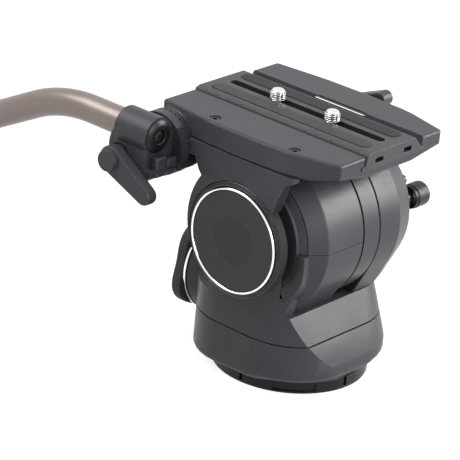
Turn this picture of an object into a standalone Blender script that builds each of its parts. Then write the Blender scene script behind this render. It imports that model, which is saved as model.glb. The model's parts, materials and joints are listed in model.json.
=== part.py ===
"""Fluid video head with a flat base, a sliding camera plate and a pan handle.

Axes: +Z is up, the lens side is -Y and the handle side is -X. The origin is the centre of
the base's underside, on the pan axis. All sizes are in metres, all angles in degrees.
"""

import math

import bmesh
import bpy
from mathutils import Matrix

# Fits and shared values
GAP = 0.0003
OVERRUN = 0.002
FINE_STEPS = 48
ROUND_STEPS = 32
SMALL_STEPS = 20
STUD_STEPS = 16
LONG_ARC_STEPS = 14
HOLLOW_STEPS = 12
CORNER_STEPS = 10
BACK_CORNER_STEPS = 9
END_STEPS = 8
HEX_SIDES = 6
LEG_STEPS = 28
FULL_TURN = 360
HALF_TURN = 180
TUBE_RESOLUTION = 5
SOFT_EDGE = 0.0008
BEVEL_STEPS = 2
EVEN_BEVEL_ANGLE = 30
RIM_BEVEL_ANGLE = 60
ROUND_PROFILE_SHARE = 0.5
MERGE_DISTANCE = 0.00001
SHARP_ANGLE = 30

# Base
BASE_RADIUS = 0.050
BASE_HEIGHT = 0.0075
NOTCH_DEPTH = 0.0020
NOTCH_SPREAD = 41
NOTCH_HALF_ANGLE = 1.3
RECESS_DEPTH = 0.0012
RECESS_HALF_ANGLE = 16
NOTCH_SECTORS = (104, 224, 344)
RIM_STEP_ANGLE = 7
SOCKET_RADIUS = 0.0040
BUSH_RADIUS = 0.0080
SPINDLE_RADIUS = 0.0120
SOCKET_DEPTH = 0.0150
BASE_SCREW_CIRCLE = 0.0300
BASE_SCREW_RADIUS = 0.0040
BASE_SCREW_DEPTH = 0.0035
BASE_SCREW_HEX = 0.0018
BASE_SCREW_ANGLES = (30, 150, 270)

# Tilt axis and barrel
TILT_HEIGHT = 0.1004
BARREL_RADIUS = 0.0513
BARREL_NEAR_END = 0.0368
NEAR_CHAMFER = 0.0078
NEAR_CHAMFER_RADIUS = BARREL_RADIUS - NEAR_CHAMFER
NEAR_CHAMFER_END = 0.0470
BARREL_SPLIT = 0.0007
DRUM_NEAR = 0.0029
DRUM_FAR = 0.0127
FAR_BARREL_END = 0.0325
FAR_CHAMFER = 0.0058
FAR_CHAMFER_RADIUS = BARREL_RADIUS - FAR_CHAMFER
FAR_CHAMFER_END = 0.0495
LEG_LEAN = 26.7
AXLE_RADIUS = 0.0080

# Pan housing: plan of the skirt, and the faces that lean in above it
LEDGE_RISE = 0.0059
SEAM_DROP = 0.0191
SPINDLE_CLEARANCE = 0.0041
LEDGE_HEIGHT = TILT_HEIGHT - BARREL_RADIUS + LEDGE_RISE
SEAM_HEIGHT = LEDGE_HEIGHT - SEAM_DROP
SPINDLE_TOP = TILT_HEIGHT - BARREL_RADIUS - SPINDLE_CLEARANCE
SKIRT_GAP = 0.0005
SKIRT_BOTTOM = BASE_HEIGHT + SKIRT_GAP
HOUSING_HALF_WIDTH = 0.0555
HOUSING_FRONT = 0.0520
HOUSING_REAR = 0.0540
FRONT_CORNER = 0.0410
REAR_CORNER = 0.0370
SKIRT_EDGE = 0.0025
LEAN_START = 0.0210
FRONT_LEAN = 0.50
SIDE_LEAN = 0.10
REAR_LEAN = 0.20
CORNER_LEAN = 0.38

# End caps of the barrel
NEAR_CAP_INSET = 0.0005
NEAR_CAP_TAPER = 0.0050
NEAR_CAP_EDGE = 0.0028
NEAR_CAP_DEPTH = 0.0042
NEAR_CAP_RIM = NEAR_CHAMFER_RADIUS - NEAR_CAP_INSET
NEAR_CAP_FACE_RADIUS = NEAR_CAP_RIM - NEAR_CAP_TAPER
NEAR_CAP_SHOULDER = NEAR_CHAMFER_END + NEAR_CAP_EDGE
NEAR_CAP_FACE = NEAR_CHAMFER_END + NEAR_CAP_DEPTH
FAR_CAP_INSET = 0.0015
FAR_CAP_TAPER = 0.0025
FAR_CAP_DEPTH = 0.0035
FAR_CAP_RIM = FAR_CHAMFER_RADIUS - FAR_CAP_INSET
FAR_CAP_RADIUS = FAR_CAP_RIM - FAR_CAP_TAPER
FAR_CAP_FACE = FAR_CHAMFER_END + FAR_CAP_DEPTH
AXLE_END_COVER = 0.0020
AXLE_FAR_END = FAR_CAP_FACE - AXLE_END_COVER
CAP_SCREW_INSET = 0.0043
CAP_SCREW_CIRCLE = FAR_CAP_RADIUS - CAP_SCREW_INSET
CAP_SCREW_RADIUS = 0.0032
CAP_SCREW_HEIGHT = 0.0040
CAP_SCREW_HEX = 0.0014
CAP_SCREW_ANGLES = (148, 58, 328, 238)

# Near wall of the housing, which follows the skirt's plan up to the barrel's split
WALL_REAR = 0.0266
WALL_STEP = 0.0031
WALL_REAR_ANGLE = -50
WALL_INNER = 0.0400
WALL_BROW_Y = 0.0390
WALL_BROW_DROP = 0.0220
WALL_FOOT_Y = 0.0305

# Platform
PLATFORM_THICKNESS = 0.0141
PLATFORM_BOTTOM = TILT_HEIGHT + BARREL_RADIUS + GAP
PLATFORM_TOP = PLATFORM_BOTTOM + PLATFORM_THICKNESS
PLATFORM_FRONT = 0.0626
PLATFORM_REAR = 0.0760
WEB_THICKNESS = 0.0025
ARM_INNER = HOUSING_HALF_WIDTH + GAP
ARM_OUTER = ARM_INNER + WEB_THICKNESS
FRONT_HALF_WIDTH = 0.0485
MID_HALF_WIDTH = ARM_OUTER
REAR_HALF_WIDTH = 0.0540
FRONT_SIDE_INSET = 0.0013
REAR_SIDE_INSET = 0.0005
FRONT_PLACE_SHARE = -0.267
REAR_PLACE_SHARE = 0.225
SMOOTH_SHARE = 0.125
WING_LEAN = 0.216
CORNER_LIFT = 0.0070
CORNER_RUN = 0.0240
CORNER_IN = 0.0160
EDGE_BEVEL = 0.0014
CHANNEL_NEAR = 0.0262
CHANNEL_FAR = 0.0308
CHANNEL_FAR_FOOT = 0.0292
CHANNEL_DEPTH = 0.0088
CHANNEL_FLOOR = PLATFORM_TOP - CHANNEL_DEPTH
UNDERCUT = 0.0025
UNDERCUT_DROP = 0.0059
UNDERCUT_TOP = PLATFORM_TOP - UNDERCUT_DROP

# Camera plate
PLATE_RISE = 0.0015
PLATE_TOP = PLATFORM_TOP + PLATE_RISE
PLATE_FRONT = 0.0632
PLATE_REAR = 0.0768
PLATE_NEAR_TOP = 0.0200
PLATE_NEAR_BEVEL = 0.0234
PLATE_BEVEL_DROP = 0.0010
PLATE_FAR_TOP = 0.0216
PLATE_NEAR_FOOT = 0.0257
PLATE_FAR_FOOT = 0.0282
SLOT_X = 0.0015
SLOT_HALF_WIDTH = 0.0033
SLOT_FRONT = 0.0546
SLOT_REAR = 0.0692
RAIL_HALF_WIDTH = 0.0072
RAIL_DROP = 0.0044
RAIL_TOP = PLATE_TOP - RAIL_DROP
PAD_HEIGHT = 0.0005
PAD_FRONT = 0.0555
PAD_REAR = 0.0710
PAD_HALF_WIDTH = 0.0050
PAD_NEAR_X = -0.0125
PAD_FAR_X = 0.0150
POCKET_HALF_WIDTH = 0.0038
POCKET_DROP = 0.0042
POCKET_HEIGHT = 0.0032
POCKET_TOP = PLATE_TOP - POCKET_DROP
POCKET_BOTTOM = POCKET_TOP - POCKET_HEIGHT
POCKET_DEPTH = 0.0080
POCKET_NEAR_X = -0.0126
POCKET_FAR_X = 0.0148
LINE_DEPTH = 0.0006

# Camera screws
SCREW_FRONT_Y = -0.0135
SCREW_REAR_Y = 0.0307
THREAD_RADIUS = 0.0048
THREAD_DEPTH = 0.0007
THREAD_PITCH = 0.0016
THREAD_TURNS = 3
THREAD_DOME = 0.0015
DOME_WIDTH_SHARE = 0.5
DOME_HEIGHT_SHARE = 0.8
NECK_RADIUS = 0.0029
SCREW_HEAD_RADIUS = 0.0058
SCREW_HEAD_HEIGHT = 0.0020
SCREW_LIFT = 0.0006
CARRIER_HALF_LENGTH = 0.0085
CARRIER_HEIGHT = 0.0022
CARRIER_BORE = 0.0032

# Clamp bar and plate lock lever
BAR_FRONT = 0.0176
BAR_REAR = 0.0219
BAR_DROP = 0.0004
BAR_HEIGHT = 0.0047
BAR_TOP = PLATFORM_TOP - BAR_DROP
BAR_BOTTOM = BAR_TOP - BAR_HEIGHT
BAR_NEAR_TOP = 0.0272
BAR_NEAR_FOOT = 0.0278
BAR_FAR = 0.0305
BAR_TRAVEL = 0.0010
LOCK_Y = 0.0220
LOCK_DROP = 0.0028
LOCK_Z = PLATFORM_BOTTOM - LOCK_DROP
LOCK_BOSS_RADIUS = 0.0075
LOCK_ARM_START = 0.0097
LOCK_ARM_WIDTH = 0.0100
LOCK_ARM_NEAR = MID_HALF_WIDTH + LOCK_ARM_START
LOCK_END = LOCK_ARM_NEAR + LOCK_ARM_WIDTH
LOCK_REACH = 0.0190
LOCK_RISE = 0.0108
LOCK_TIP_Y = LOCK_Y - LOCK_REACH
LOCK_TIP_Z = LOCK_Z + LOCK_RISE
LOCK_TIP_RADIUS = 0.0048

# Near dial
DIAL_INSET = 0.0141
DIAL_RADIUS = BARREL_RADIUS - DIAL_INSET
DIAL_CLEARANCE = 0.0004
DIAL_DEPTH = 0.0069
DIAL_NEAR = ARM_OUTER + GAP
DIAL_RIM = DIAL_NEAR + DIAL_DEPTH
DIAL_FACE_RISE = 0.0013
DIAL_FACE = DIAL_RIM + DIAL_FACE_RISE
DIAL_CHAMFER = 0.0022
DIAL_EDGE = DIAL_RADIUS - DIAL_CHAMFER
RING_INSET = 0.0035
RING_WIDTH = 0.0015
RING_RISE = 0.0007
RING_DEPTH = 0.0015
RING_OUTER = DIAL_RADIUS - RING_INSET
RING_INNER = RING_OUTER - RING_WIDTH
RING_FACE = DIAL_FACE + RING_RISE
RING_SEAT = DIAL_RIM - RING_DEPTH
DISC_RADIUS = 0.0158
DISC_DEPTH = 0.0009
AXLE_REACH = 0.0034
AXLE_NEAR_END = DIAL_NEAR + AXLE_REACH
AXLE_POCKET = AXLE_REACH + DIAL_CLEARANCE

# Near arm: a casting that leans out from the platform's side and closes round the dial
DIAL_PROUD = 0.0008
ARM_RIM = DIAL_RIM - DIAL_PROUD
LOBE_SHIFT = -0.0082
LOBE_RISE = 0.0053
LOBE_WALL = 0.0107
LOBE_RADIUS = DIAL_RADIUS + LOBE_WALL
LOBE_START = -27.7
LOBE_END = 34.6
HUB_RADIUS = 0.0305
HUB_START = 137
HUB_END = 318
ARM_FRONT = 0.0377
CHIN_Y = 0.0383
CHIN_DROP = 0.0025
NECK_Y = 0.0328
NECK_DROP = 0.0052
TIP_RIM = 0.0013
TIP_ANGLE = 134.4
NOTCH_Y = 0.0389
NOTCH_DROP = 0.0090

# Rosette
ROSETTE_Y = 0.0645
ROSETTE_DROP = 0.0083
ROSETTE_Z = PLATFORM_BOTTOM - ROSETTE_DROP
ROSETTE_RADIUS = 0.0205
ROSETTE_TOOTH_INNER = 0.0130
ROSETTE_DEPTH = 0.0032
ROSETTE_FACE = ARM_OUTER + ROSETTE_DEPTH
ROSETTE_TOOTH = 0.0009
ROSETTE_TEETH = 30
BOSS_DEPTH = 0.0103
BOSS_INNER = ARM_OUTER - BOSS_DEPTH
BOSS_RADIUS = 0.0200
WING_SCREW_INSET = 0.0071
WING_SCREW_X = WING_SCREW_INSET - MID_HALF_WIDTH
WING_SCREW_PLACES = (-0.0286, 0.0355)
WING_SCREW_RADIUS = 0.0036
WING_SCREW_DEPTH = 0.0040
WING_SCREW_HEX = 0.0017
WING_SCREW_SINK = 0.0006

# Rear dial
REAR_AXIS_DROP = 0.0110
REAR_AXIS_Z = LEDGE_HEIGHT - REAR_AXIS_DROP
REAR_SHAFT_RADIUS = 0.0080
REAR_SHAFT_DEPTH = 0.0050
REAR_BORE_DEPTH = 0.0100
REAR_CONE_GAP = 0.0010
REAR_CONE_DEPTH = 0.0105
REAR_CONE_START = HOUSING_REAR + REAR_CONE_GAP
REAR_CONE_RADIUS = 0.0290
REAR_RING_START = REAR_CONE_START + REAR_CONE_DEPTH
REAR_RING_DEPTH = 0.0017
REAR_RING_END = REAR_RING_START + REAR_RING_DEPTH
REAR_RING_RADIUS = 0.0318
REAR_RING_INNER = 0.0240
REAR_GRIP_DEPTH = 0.0083
REAR_GRIP_END = REAR_RING_END + REAR_GRIP_DEPTH
REAR_GRIP_RADIUS = 0.0336
REAR_GRIP_LOBE = 0.0021
REAR_GRIP_LOBES = 5
REAR_GRIP_TURN = 134
REAR_GRIP_BEVEL = 0.0018
REAR_DISC_RADIUS = 0.0200
REAR_DISC_DEPTH = 0.0012

# Lock knobs on the far side
TILT_LOCK_INSET = 0.0049
TILT_LOCK_ANGLE = 167.2
TILT_LOCK_CIRCLE = FAR_CAP_RADIUS - TILT_LOCK_INSET
PAN_LOCK_Y = 0.0060
PAN_LOCK_DROP = 0.0100
PAN_LOCK_Z = LEDGE_HEIGHT - PAN_LOCK_DROP
LOCK_NECK_RADIUS = 0.0062
LOCK_NECK_TIP = 0.0046
LOCK_NECK_LENGTH = 0.0072
COLLAR_RADIUS = 0.0076
COLLAR_LENGTH = 0.0024
KNOB_RADIUS = 0.0081
KNOB_LENGTH = 0.0118
KNOB_EDGE = 0.0016

# Handle clamp
HUB_DEPTH = 0.0063
HUB_INNER = ROSETTE_FACE + ROSETTE_TOOTH + GAP
HUB_OUTER = HUB_INNER + HUB_DEPTH
EAR_DEPTH = 0.0230
EAR_OUTER = HUB_OUTER + EAR_DEPTH
EAR_STEP_SETBACK = 0.0116
EAR_STEP_DROP = 0.0077
EAR_STEP_Y = ROSETTE_Y - EAR_STEP_SETBACK
EAR_STEP_Z = ROSETTE_Z - EAR_STEP_DROP
HOLDER_RADIUS = 0.0122
HOLDER_INSET = 0.0095
HOLDER_RISE = 0.0118
HOLDER_SETBACK = 0.0115
HOLDER_LENGTH = 0.0255
HOLDER_X = HOLDER_INSET - EAR_OUTER
HOLDER_Z = ROSETTE_Z + HOLDER_RISE
HOLDER_FRONT = ROSETTE_Y - HOLDER_SETBACK
HOLDER_REAR = HOLDER_FRONT + HOLDER_LENGTH
SEAT_DEPTH = 0.0070
TUBE_SEAT = HOLDER_FRONT + SEAT_DEPTH
PLUG_RADIUS = 0.0095
PLUG_DOME_RADIUS = 0.0112
PLUG_DOME = 0.0024
PLUG_HEX = 0.0030
PLUG_HEX_DEPTH = 0.0030
TUBE_RADIUS = 0.0089
WING_AHEAD = 0.0105
WING_DROP = 0.0065
WING_Y = ROSETTE_Y + WING_AHEAD
WING_Z = ROSETTE_Z - WING_DROP
WING_BOSS_RADIUS = 0.0088
WING_BOSS_TIP = 0.0066
WING_ARM_GAP = 0.0005
WING_ARM_WIDTH = 0.0085
WING_BOSS_PROUD = 0.0030
WING_BOSS_SINK = 0.0060
WING_ARM_INNER = EAR_OUTER + WING_ARM_GAP
WING_ARM_OUTER = WING_ARM_INNER + WING_ARM_WIDTH
WING_BOSS_END = WING_ARM_OUTER + WING_BOSS_PROUD
WING_BOSS_START = EAR_OUTER - WING_BOSS_SINK
WING_REACH = 0.0288
WING_FALL = 0.0150
WING_TIP_Y = WING_Y - WING_REACH
WING_TIP_Z = WING_Z - WING_FALL
WING_TIP_RADIUS = 0.0056
WING_EDGE = 0.0016
WING_STUD_RADIUS = 0.0030
WING_STUD_COVER = 0.0030
WING_STUD_END = HUB_OUTER + WING_STUD_COVER

# Pan handle
BEND_LEAD = 0.0285
BEND_START = HOLDER_REAR + BEND_LEAD
BEND_RADIUS = 0.1070
BEND_ANGLE = 28
BEND_STEPS = 8
HANDLE_STRAIGHT = 0.1900
GRIP_LENGTH = 0.1150
GRIP_RADIUS = 0.0135
GRIP_RIBS = 6
GRIP_RIB_DEPTH = 0.0009
RIB_SHARE = 0.7
GROOVE_START_SHARE = 0.8
GROOVE_END_SHARE = 0.9
END_CAP_RADIUS = 0.0140
END_CAP_LENGTH = 0.0070

# Finishes: colour, roughness, metallic
BODY = ((0.050, 0.053, 0.058), 0.42, 0.35)
BODY_DARK = ((0.030, 0.031, 0.034), 0.45, 0.30)
BLACK_BASE = ((0.008, 0.008, 0.009), 0.50, 0.20)
PLATE_FINISH = ((0.070, 0.072, 0.075), 0.45, 0.35)
RUBBER = ((0.022, 0.022, 0.023), 0.80, 0.0)
SILVER = ((0.80, 0.81, 0.82), 0.18, 1.0)
STEEL = ((0.55, 0.56, 0.58), 0.28, 1.0)
DARK_STEEL = ((0.050, 0.050, 0.052), 0.35, 0.8)
TUBE_FINISH = ((0.30, 0.26, 0.24), 0.32, 0.7)


def clear_scene():
    for item in list(bpy.data.objects):
        bpy.data.objects.remove(item)


def arc(across, up, radius, start, end, steps):
    """Points of an arc about (across, up), from the start angle to the end angle."""
    points = []
    for step in range(steps + 1):
        angle = math.radians(start + (end - start) * step / steps)
        points.append((across + radius * math.cos(angle), up + radius * math.sin(angle)))
    return points


def polar(radius, angle):
    return radius * math.cos(math.radians(angle)), radius * math.sin(math.radians(angle))


def material_for(name, finish):
    colour, roughness, metallic = finish
    material = bpy.data.materials.new(name + "_finish")
    material.use_nodes = True
    shader = material.node_tree.nodes["Principled BSDF"]
    shader.inputs["Base Color"].default_value = (*colour, 1)
    shader.inputs["Roughness"].default_value = roughness
    shader.inputs["Metallic"].default_value = metallic
    return material


def cutter_collection():
    found = bpy.data.collections.get("cutters")
    if found is None:
        found = bpy.data.collections.new("cutters")
        bpy.context.scene.collection.children.link(found)
        found.hide_render = True
    return found


def add_piece(name, mesh, finish, pivot=(0, 0, 0)):
    """A named sub-part in its own collection, its mesh given in world places, its origin at the pivot."""
    group = bpy.data.collections.new(name)
    bpy.context.scene.collection.children.link(group)
    mesh.name = name
    mesh.transform(Matrix.Translation([-value for value in pivot]))
    mesh.materials.append(material_for(name, finish))
    piece = bpy.data.objects.new(name, mesh)
    piece.location = pivot
    group.objects.link(piece)
    return piece


def add_cutter(mesh):
    cutter = bpy.data.objects.new("cutter", mesh)
    cutter.hide_render = True
    cutter.display_type = "WIRE"
    cutter_collection().objects.link(cutter)
    return cutter


def combine(piece, mesh, operation):
    """Adds a Boolean with a helper made from the mesh, given in world places."""
    modifier = piece.modifiers.new(operation.lower(), "BOOLEAN")
    modifier.operation = operation
    modifier.solver = "EXACT"
    modifier.object = add_cutter(mesh)
    return piece


def cut(piece, mesh):
    return combine(piece, mesh, "DIFFERENCE")


def join(piece, mesh):
    return combine(piece, mesh, "UNION")


def trim(piece, mesh):
    return combine(piece, mesh, "INTERSECT")


def bevel(piece, width, angle, segments=BEVEL_STEPS):
    modifier = piece.modifiers.new("bevel", "BEVEL")
    modifier.width = width
    modifier.segments = segments
    modifier.limit_method = "ANGLE"
    modifier.angle_limit = math.radians(angle)
    return piece


def finished_mesh(shape, name="shape"):
    bmesh.ops.recalc_face_normals(shape, faces=shape.faces)
    mesh = bpy.data.meshes.new(name)
    shape.to_mesh(mesh)
    shape.free()
    return mesh


def turn_to(axis, mesh):
    """Turns a mesh modelled along Z so that its Z runs along the named axis."""
    turns = {
        "X": Matrix(((0, 0, 1, 0), (1, 0, 0, 0), (0, 1, 0, 0), (0, 0, 0, 1))),
        "Y": Matrix(((1, 0, 0, 0), (0, 0, 1, 0), (0, -1, 0, 0), (0, 0, 0, 1))),
        "Z": Matrix.Identity(4),
    }
    mesh.transform(turns[axis])
    return mesh


def prism(outline, low, high, axis="Z"):
    """A straight solid. Along X the outline is given in Y and Z, along Z in X and Y."""
    shape = bmesh.new()
    floor = shape.faces.new([shape.verts.new((a, b, low)) for a, b in outline])
    raised = bmesh.ops.extrude_face_region(shape, geom=[floor])["geom"]
    corners = [item for item in raised if isinstance(item, bmesh.types.BMVert)]
    bmesh.ops.translate(shape, verts=corners, vec=(0, 0, high - low))
    return turn_to(axis, finished_mesh(shape))


def prism_along_y(outline, front, rear):
    """A straight solid along Y, its outline given in X and Z."""
    return prism([(across, -up) for across, up in outline], front, rear, "Y")


def loft(rings):
    """A closed skin through rings of equal length, with a flat face over the first and the last."""
    shape = bmesh.new()
    loops = [[shape.verts.new(point) for point in ring] for ring in rings]
    shape.faces.new(loops[0])
    shape.faces.new(loops[-1])
    for lower, upper in zip(loops, loops[1:]):
        for index in range(len(lower)):
            after = (index + 1) % len(lower)
            shape.faces.new((lower[index], lower[after], upper[after], upper[index]))
    return finished_mesh(shape)


def rounded_foot(mesh, height, width):
    """Rounds the edges that lie at one height."""
    shape = bmesh.new()
    shape.from_mesh(mesh)
    edges = [
        edge for edge in shape.edges if all(abs(vert.co.z - height) < GAP for vert in edge.verts)
    ]
    bmesh.ops.bevel(
        shape,
        geom=edges,
        offset=width,
        segments=BEVEL_STEPS,
        profile=ROUND_PROFILE_SHARE,
        affect="EDGES",
        material=-1,
    )
    return finished_mesh(shape)


def block(low, high):
    outline = [(low[0], low[1]), (high[0], low[1]), (high[0], high[1]), (low[0], high[1])]
    return prism(outline, low[2], high[2])


def rod(axis, centre, radius, low, high, steps=SMALL_STEPS, tip=None):
    """A cylinder or cone frustum along an axis, from low to high, about the centre's other two places."""
    shape = bmesh.new()
    bmesh.ops.create_cone(
        shape,
        cap_ends=True,
        segments=steps,
        radius1=radius,
        radius2=radius if tip is None else tip,
        depth=high - low,
    )
    mesh = turn_to(axis, finished_mesh(shape))
    middle = (low + high) / 2
    places = {
        "X": (middle, centre[0], centre[1]),
        "Y": (centre[0], middle, centre[1]),
        "Z": (centre[0], centre[1], middle),
    }
    mesh.transform(Matrix.Translation(places[axis]))
    return mesh


def hex_socket(axis, centre, half_width, low, high):
    return rod(axis, centre, half_width, low, high, steps=HEX_SIDES)


def turned(profile, axis, pivot, name, finish, steps=ROUND_STEPS, closed=False):
    """A turned sub-part: the profile is (radius, place along the axis), down its outer side."""
    mesh = bpy.data.meshes.new(name)
    points = [(radius, 0, height) for radius, height in profile]
    edges = [(index, index + 1) for index in range(len(points) - 1)]
    if closed:
        edges.append((len(points) - 1, 0))
    mesh.from_pydata(points, edges, [])
    piece = add_piece(name, mesh, finish)
    turns = {"X": (0, math.pi / 2, 0), "Y": (-math.pi / 2, 0, 0), "Z": (0, 0, 0)}
    piece.location = pivot
    piece.rotation_euler = turns[axis]
    screw = piece.modifiers.new("turn", "SCREW")
    screw.axis = "Z"
    screw.angle = math.tau
    screw.steps = steps
    screw.render_steps = steps
    screw.use_merge_vertices = True
    screw.merge_threshold = MERGE_DISTANCE
    screw.use_smooth_shade = True
    return piece


def tilt_pivot():
    return (0, 0, TILT_HEIGHT)


def hang(pieces, name, place):
    """Parents pieces to an empty on their joint's axis and leaves them where they are."""
    empty = bpy.data.objects.new(name, None)
    empty.location = place
    bpy.context.scene.collection.objects.link(empty)
    bpy.context.view_layer.update()
    for piece in pieces:
        piece.parent = empty
        piece.matrix_parent_inverse = empty.matrix_world.inverted()


def housing_plan():
    """The skirt's plan: straight sides, a wide curve in front and a tighter one behind."""
    front_x, front_y = HOUSING_HALF_WIDTH - FRONT_CORNER, HOUSING_FRONT - FRONT_CORNER
    rear_x, rear_y = HOUSING_HALF_WIDTH - REAR_CORNER, HOUSING_REAR - REAR_CORNER
    outline = arc(front_x, -front_y, FRONT_CORNER, -90, 0, CORNER_STEPS)
    outline += arc(rear_x, rear_y, REAR_CORNER, 0, 90, BACK_CORNER_STEPS)
    outline += arc(-rear_x, rear_y, REAR_CORNER, 90, HALF_TURN, BACK_CORNER_STEPS)
    outline += arc(-front_x, -front_y, FRONT_CORNER, HALF_TURN, 270, CORNER_STEPS)
    return outline


def leaning_outline(height):
    """The plan of the leaning faces at one height. It is left open wide on the near side."""
    rise = height - LEAN_START
    front = HOUSING_FRONT - FRONT_LEAN * rise
    side = HOUSING_HALF_WIDTH - SIDE_LEAN * rise
    rear = HOUSING_REAR - REAR_LEAN * rise
    corner = FRONT_CORNER - CORNER_LEAN * rise
    back_corner = REAR_CORNER - CORNER_LEAN * rise
    near = -HOUSING_HALF_WIDTH - FRONT_CORNER
    outline = arc(side - corner, corner - front, corner, -90, 0, CORNER_STEPS)
    back_x, back_y = side - back_corner, rear - back_corner
    outline += arc(back_x, back_y, back_corner, 0, 90, BACK_CORNER_STEPS)
    return [*outline, (near, rear), (near, -front)]


def leaning_block():
    """A loft between two heights: the front, far side and rear lean in, the near side doesn't."""
    heights = (-OVERRUN, LEDGE_HEIGHT + OVERRUN)
    return loft([[(x, y, height) for x, y in leaning_outline(height)] for height in heights])


def build_base_ring():
    def depth_at(angle):
        for sector in NOTCH_SECTORS:
            away = abs((angle - sector + HALF_TURN) % FULL_TURN - HALF_TURN)
            if away <= RECESS_HALF_ANGLE:
                return RECESS_DEPTH
            if abs(away - NOTCH_SPREAD) <= NOTCH_HALF_ANGLE:
                return NOTCH_DEPTH
        return 0

    outline = []
    corners = []
    for sector in NOTCH_SECTORS:
        for centre in (-NOTCH_SPREAD, 0, NOTCH_SPREAD):
            half = NOTCH_HALF_ANGLE if centre else RECESS_HALF_ANGLE
            corners += [(sector + centre - half, 0), (sector + centre + half, 1)]
    corners = sorted((angle % FULL_TURN, leaves) for angle, leaves in corners)
    for index, (angle, leaves) in enumerate(corners):
        after = corners[(index + 1) % len(corners)][0]
        if after <= angle:
            after += FULL_TURN
        inside = depth_at((angle + after) / 2)
        steps = max(1, round((after - angle) / RIM_STEP_ANGLE))
        outline += arc(0, 0, BASE_RADIUS - inside, angle, after, steps)
    base = add_piece("base_ring", prism(outline, 0, BASE_HEIGHT), BLACK_BASE)
    cut(base, rod("Z", (0, 0), BUSH_RADIUS + GAP, -OVERRUN, BASE_HEIGHT + OVERRUN))
    for angle in BASE_SCREW_ANGLES:
        place = polar(BASE_SCREW_CIRCLE, angle)
        cut(base, rod("Z", place, BASE_SCREW_RADIUS + GAP, -OVERRUN, BASE_SCREW_DEPTH + GAP))


def build_base_fittings():
    bush = add_piece("socket_bush", rod("Z", (0, 0), BUSH_RADIUS, GAP, BASE_HEIGHT), STEEL)
    cut(bush, rod("Z", (0, 0), SOCKET_RADIUS, -OVERRUN, BASE_HEIGHT + OVERRUN))
    bottom = BASE_HEIGHT + GAP
    spindle = add_piece(
        "pan_spindle", rod("Z", (0, 0), SPINDLE_RADIUS, bottom, SPINDLE_TOP, ROUND_STEPS), STEEL
    )
    cut(spindle, rod("Z", (0, 0), SOCKET_RADIUS, 0, SOCKET_DEPTH))
    for number, angle in enumerate(BASE_SCREW_ANGLES, 1):
        place = polar(BASE_SCREW_CIRCLE, angle)
        mesh = rod("Z", place, BASE_SCREW_RADIUS, GAP, BASE_SCREW_DEPTH)
        screw = add_piece(f"base_screw_{number}", mesh, DARK_STEEL)
        cut(screw, hex_socket("Z", place, BASE_SCREW_HEX, -OVERRUN, BASE_SCREW_DEPTH / 2))


def build_skirt():
    body = prism(housing_plan(), SKIRT_BOTTOM, SEAM_HEIGHT - GAP)
    skirt = add_piece("skirt", rounded_foot(body, SKIRT_BOTTOM, SKIRT_EDGE), BODY)
    trim(skirt, leaning_block())
    cut(skirt, rod("Z", (0, 0), SPINDLE_RADIUS + GAP, 0, SEAM_HEIGHT + OVERRUN, ROUND_STEPS))


def wall_outline():
    """The near wall from the side: a low step behind, a curve about the tilt axis, a flat top."""
    low = LEDGE_HEIGHT - OVERRUN
    top = TILT_HEIGHT + BARREL_SPLIT - GAP
    end = math.degrees(math.asin((BARREL_SPLIT - GAP) / NEAR_CAP_RIM))
    curve = arc(0, TILT_HEIGHT, NEAR_CAP_RIM, WALL_REAR_ANGLE, end, HOLLOW_STEPS)
    step = (WALL_REAR, LEDGE_HEIGHT + WALL_STEP)
    brow = TILT_HEIGHT - WALL_BROW_DROP
    front = [(-WALL_BROW_Y, top), (-WALL_BROW_Y, brow), (-WALL_FOOT_Y, low)]
    return [(WALL_REAR, low), step, *curve, *front]


def wall_mesh():
    """The near wall, trimmed to the skirt's plan and hollowed for the barrel's end and its cap."""
    near = -HOUSING_HALF_WIDTH - OVERRUN
    wall = add_piece("wall", prism(wall_outline(), near, -WALL_INNER, "X"), BODY)
    trim(wall, prism(housing_plan(), SEAM_HEIGHT, PLATFORM_BOTTOM))
    floor = -NEAR_CAP_FACE - GAP
    axis = (0, TILT_HEIGHT)
    cut(wall, rod("X", axis, NEAR_CHAMFER_RADIUS + GAP, floor, -NEAR_CHAMFER_END, FINE_STEPS))
    narrow, wide = NEAR_CHAMFER_RADIUS + GAP, BARREL_RADIUS + GAP
    start, end = -NEAR_CHAMFER_END - GAP, -BARREL_NEAR_END - GAP
    cut(wall, rod("X", axis, narrow, start, end, FINE_STEPS, wide))
    cut(wall, axle_bore(near, floor))
    return evaluated_mesh(wall)


def build_upper_housing():
    mesh = prism(housing_plan(), SEAM_HEIGHT, LEDGE_HEIGHT)
    housing = trim(add_piece("upper_housing", mesh, BODY), leaning_block())
    join(housing, wall_mesh())
    slot_radius = BARREL_RADIUS + OVERRUN
    start, end = -DRUM_NEAR - GAP, DRUM_FAR + GAP
    cut(housing, rod("X", (0, TILT_HEIGHT), slot_radius, start, end, FINE_STEPS))
    cut(housing, rod("Z", (0, 0), SPINDLE_RADIUS + GAP, 0, SPINDLE_TOP + GAP, ROUND_STEPS))
    shaft = REAR_SHAFT_RADIUS + GAP
    bore_end = HOUSING_REAR - REAR_BORE_DEPTH
    cut(housing, rod("Y", (0, REAR_AXIS_Z), shaft, bore_end, HOUSING_REAR))
    neck = (PAN_LOCK_Y, PAN_LOCK_Z)
    cut(housing, rod("X", neck, LOCK_NECK_RADIUS + GAP, pan_lock_seat(), HOUSING_HALF_WIDTH))


def pan_lock_seat():
    """Where the pan lock's neck stands in the far wall."""
    wall = HOUSING_HALF_WIDTH - SIDE_LEAN * (PAN_LOCK_Z - LEAN_START)
    return wall - OVERRUN


def barrel_keep(low, high):
    """The space that a barrel piece keeps, between two heights."""
    reach = BARREL_RADIUS + OVERRUN
    return block((-reach, -reach, low), (reach, reach, high))


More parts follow.
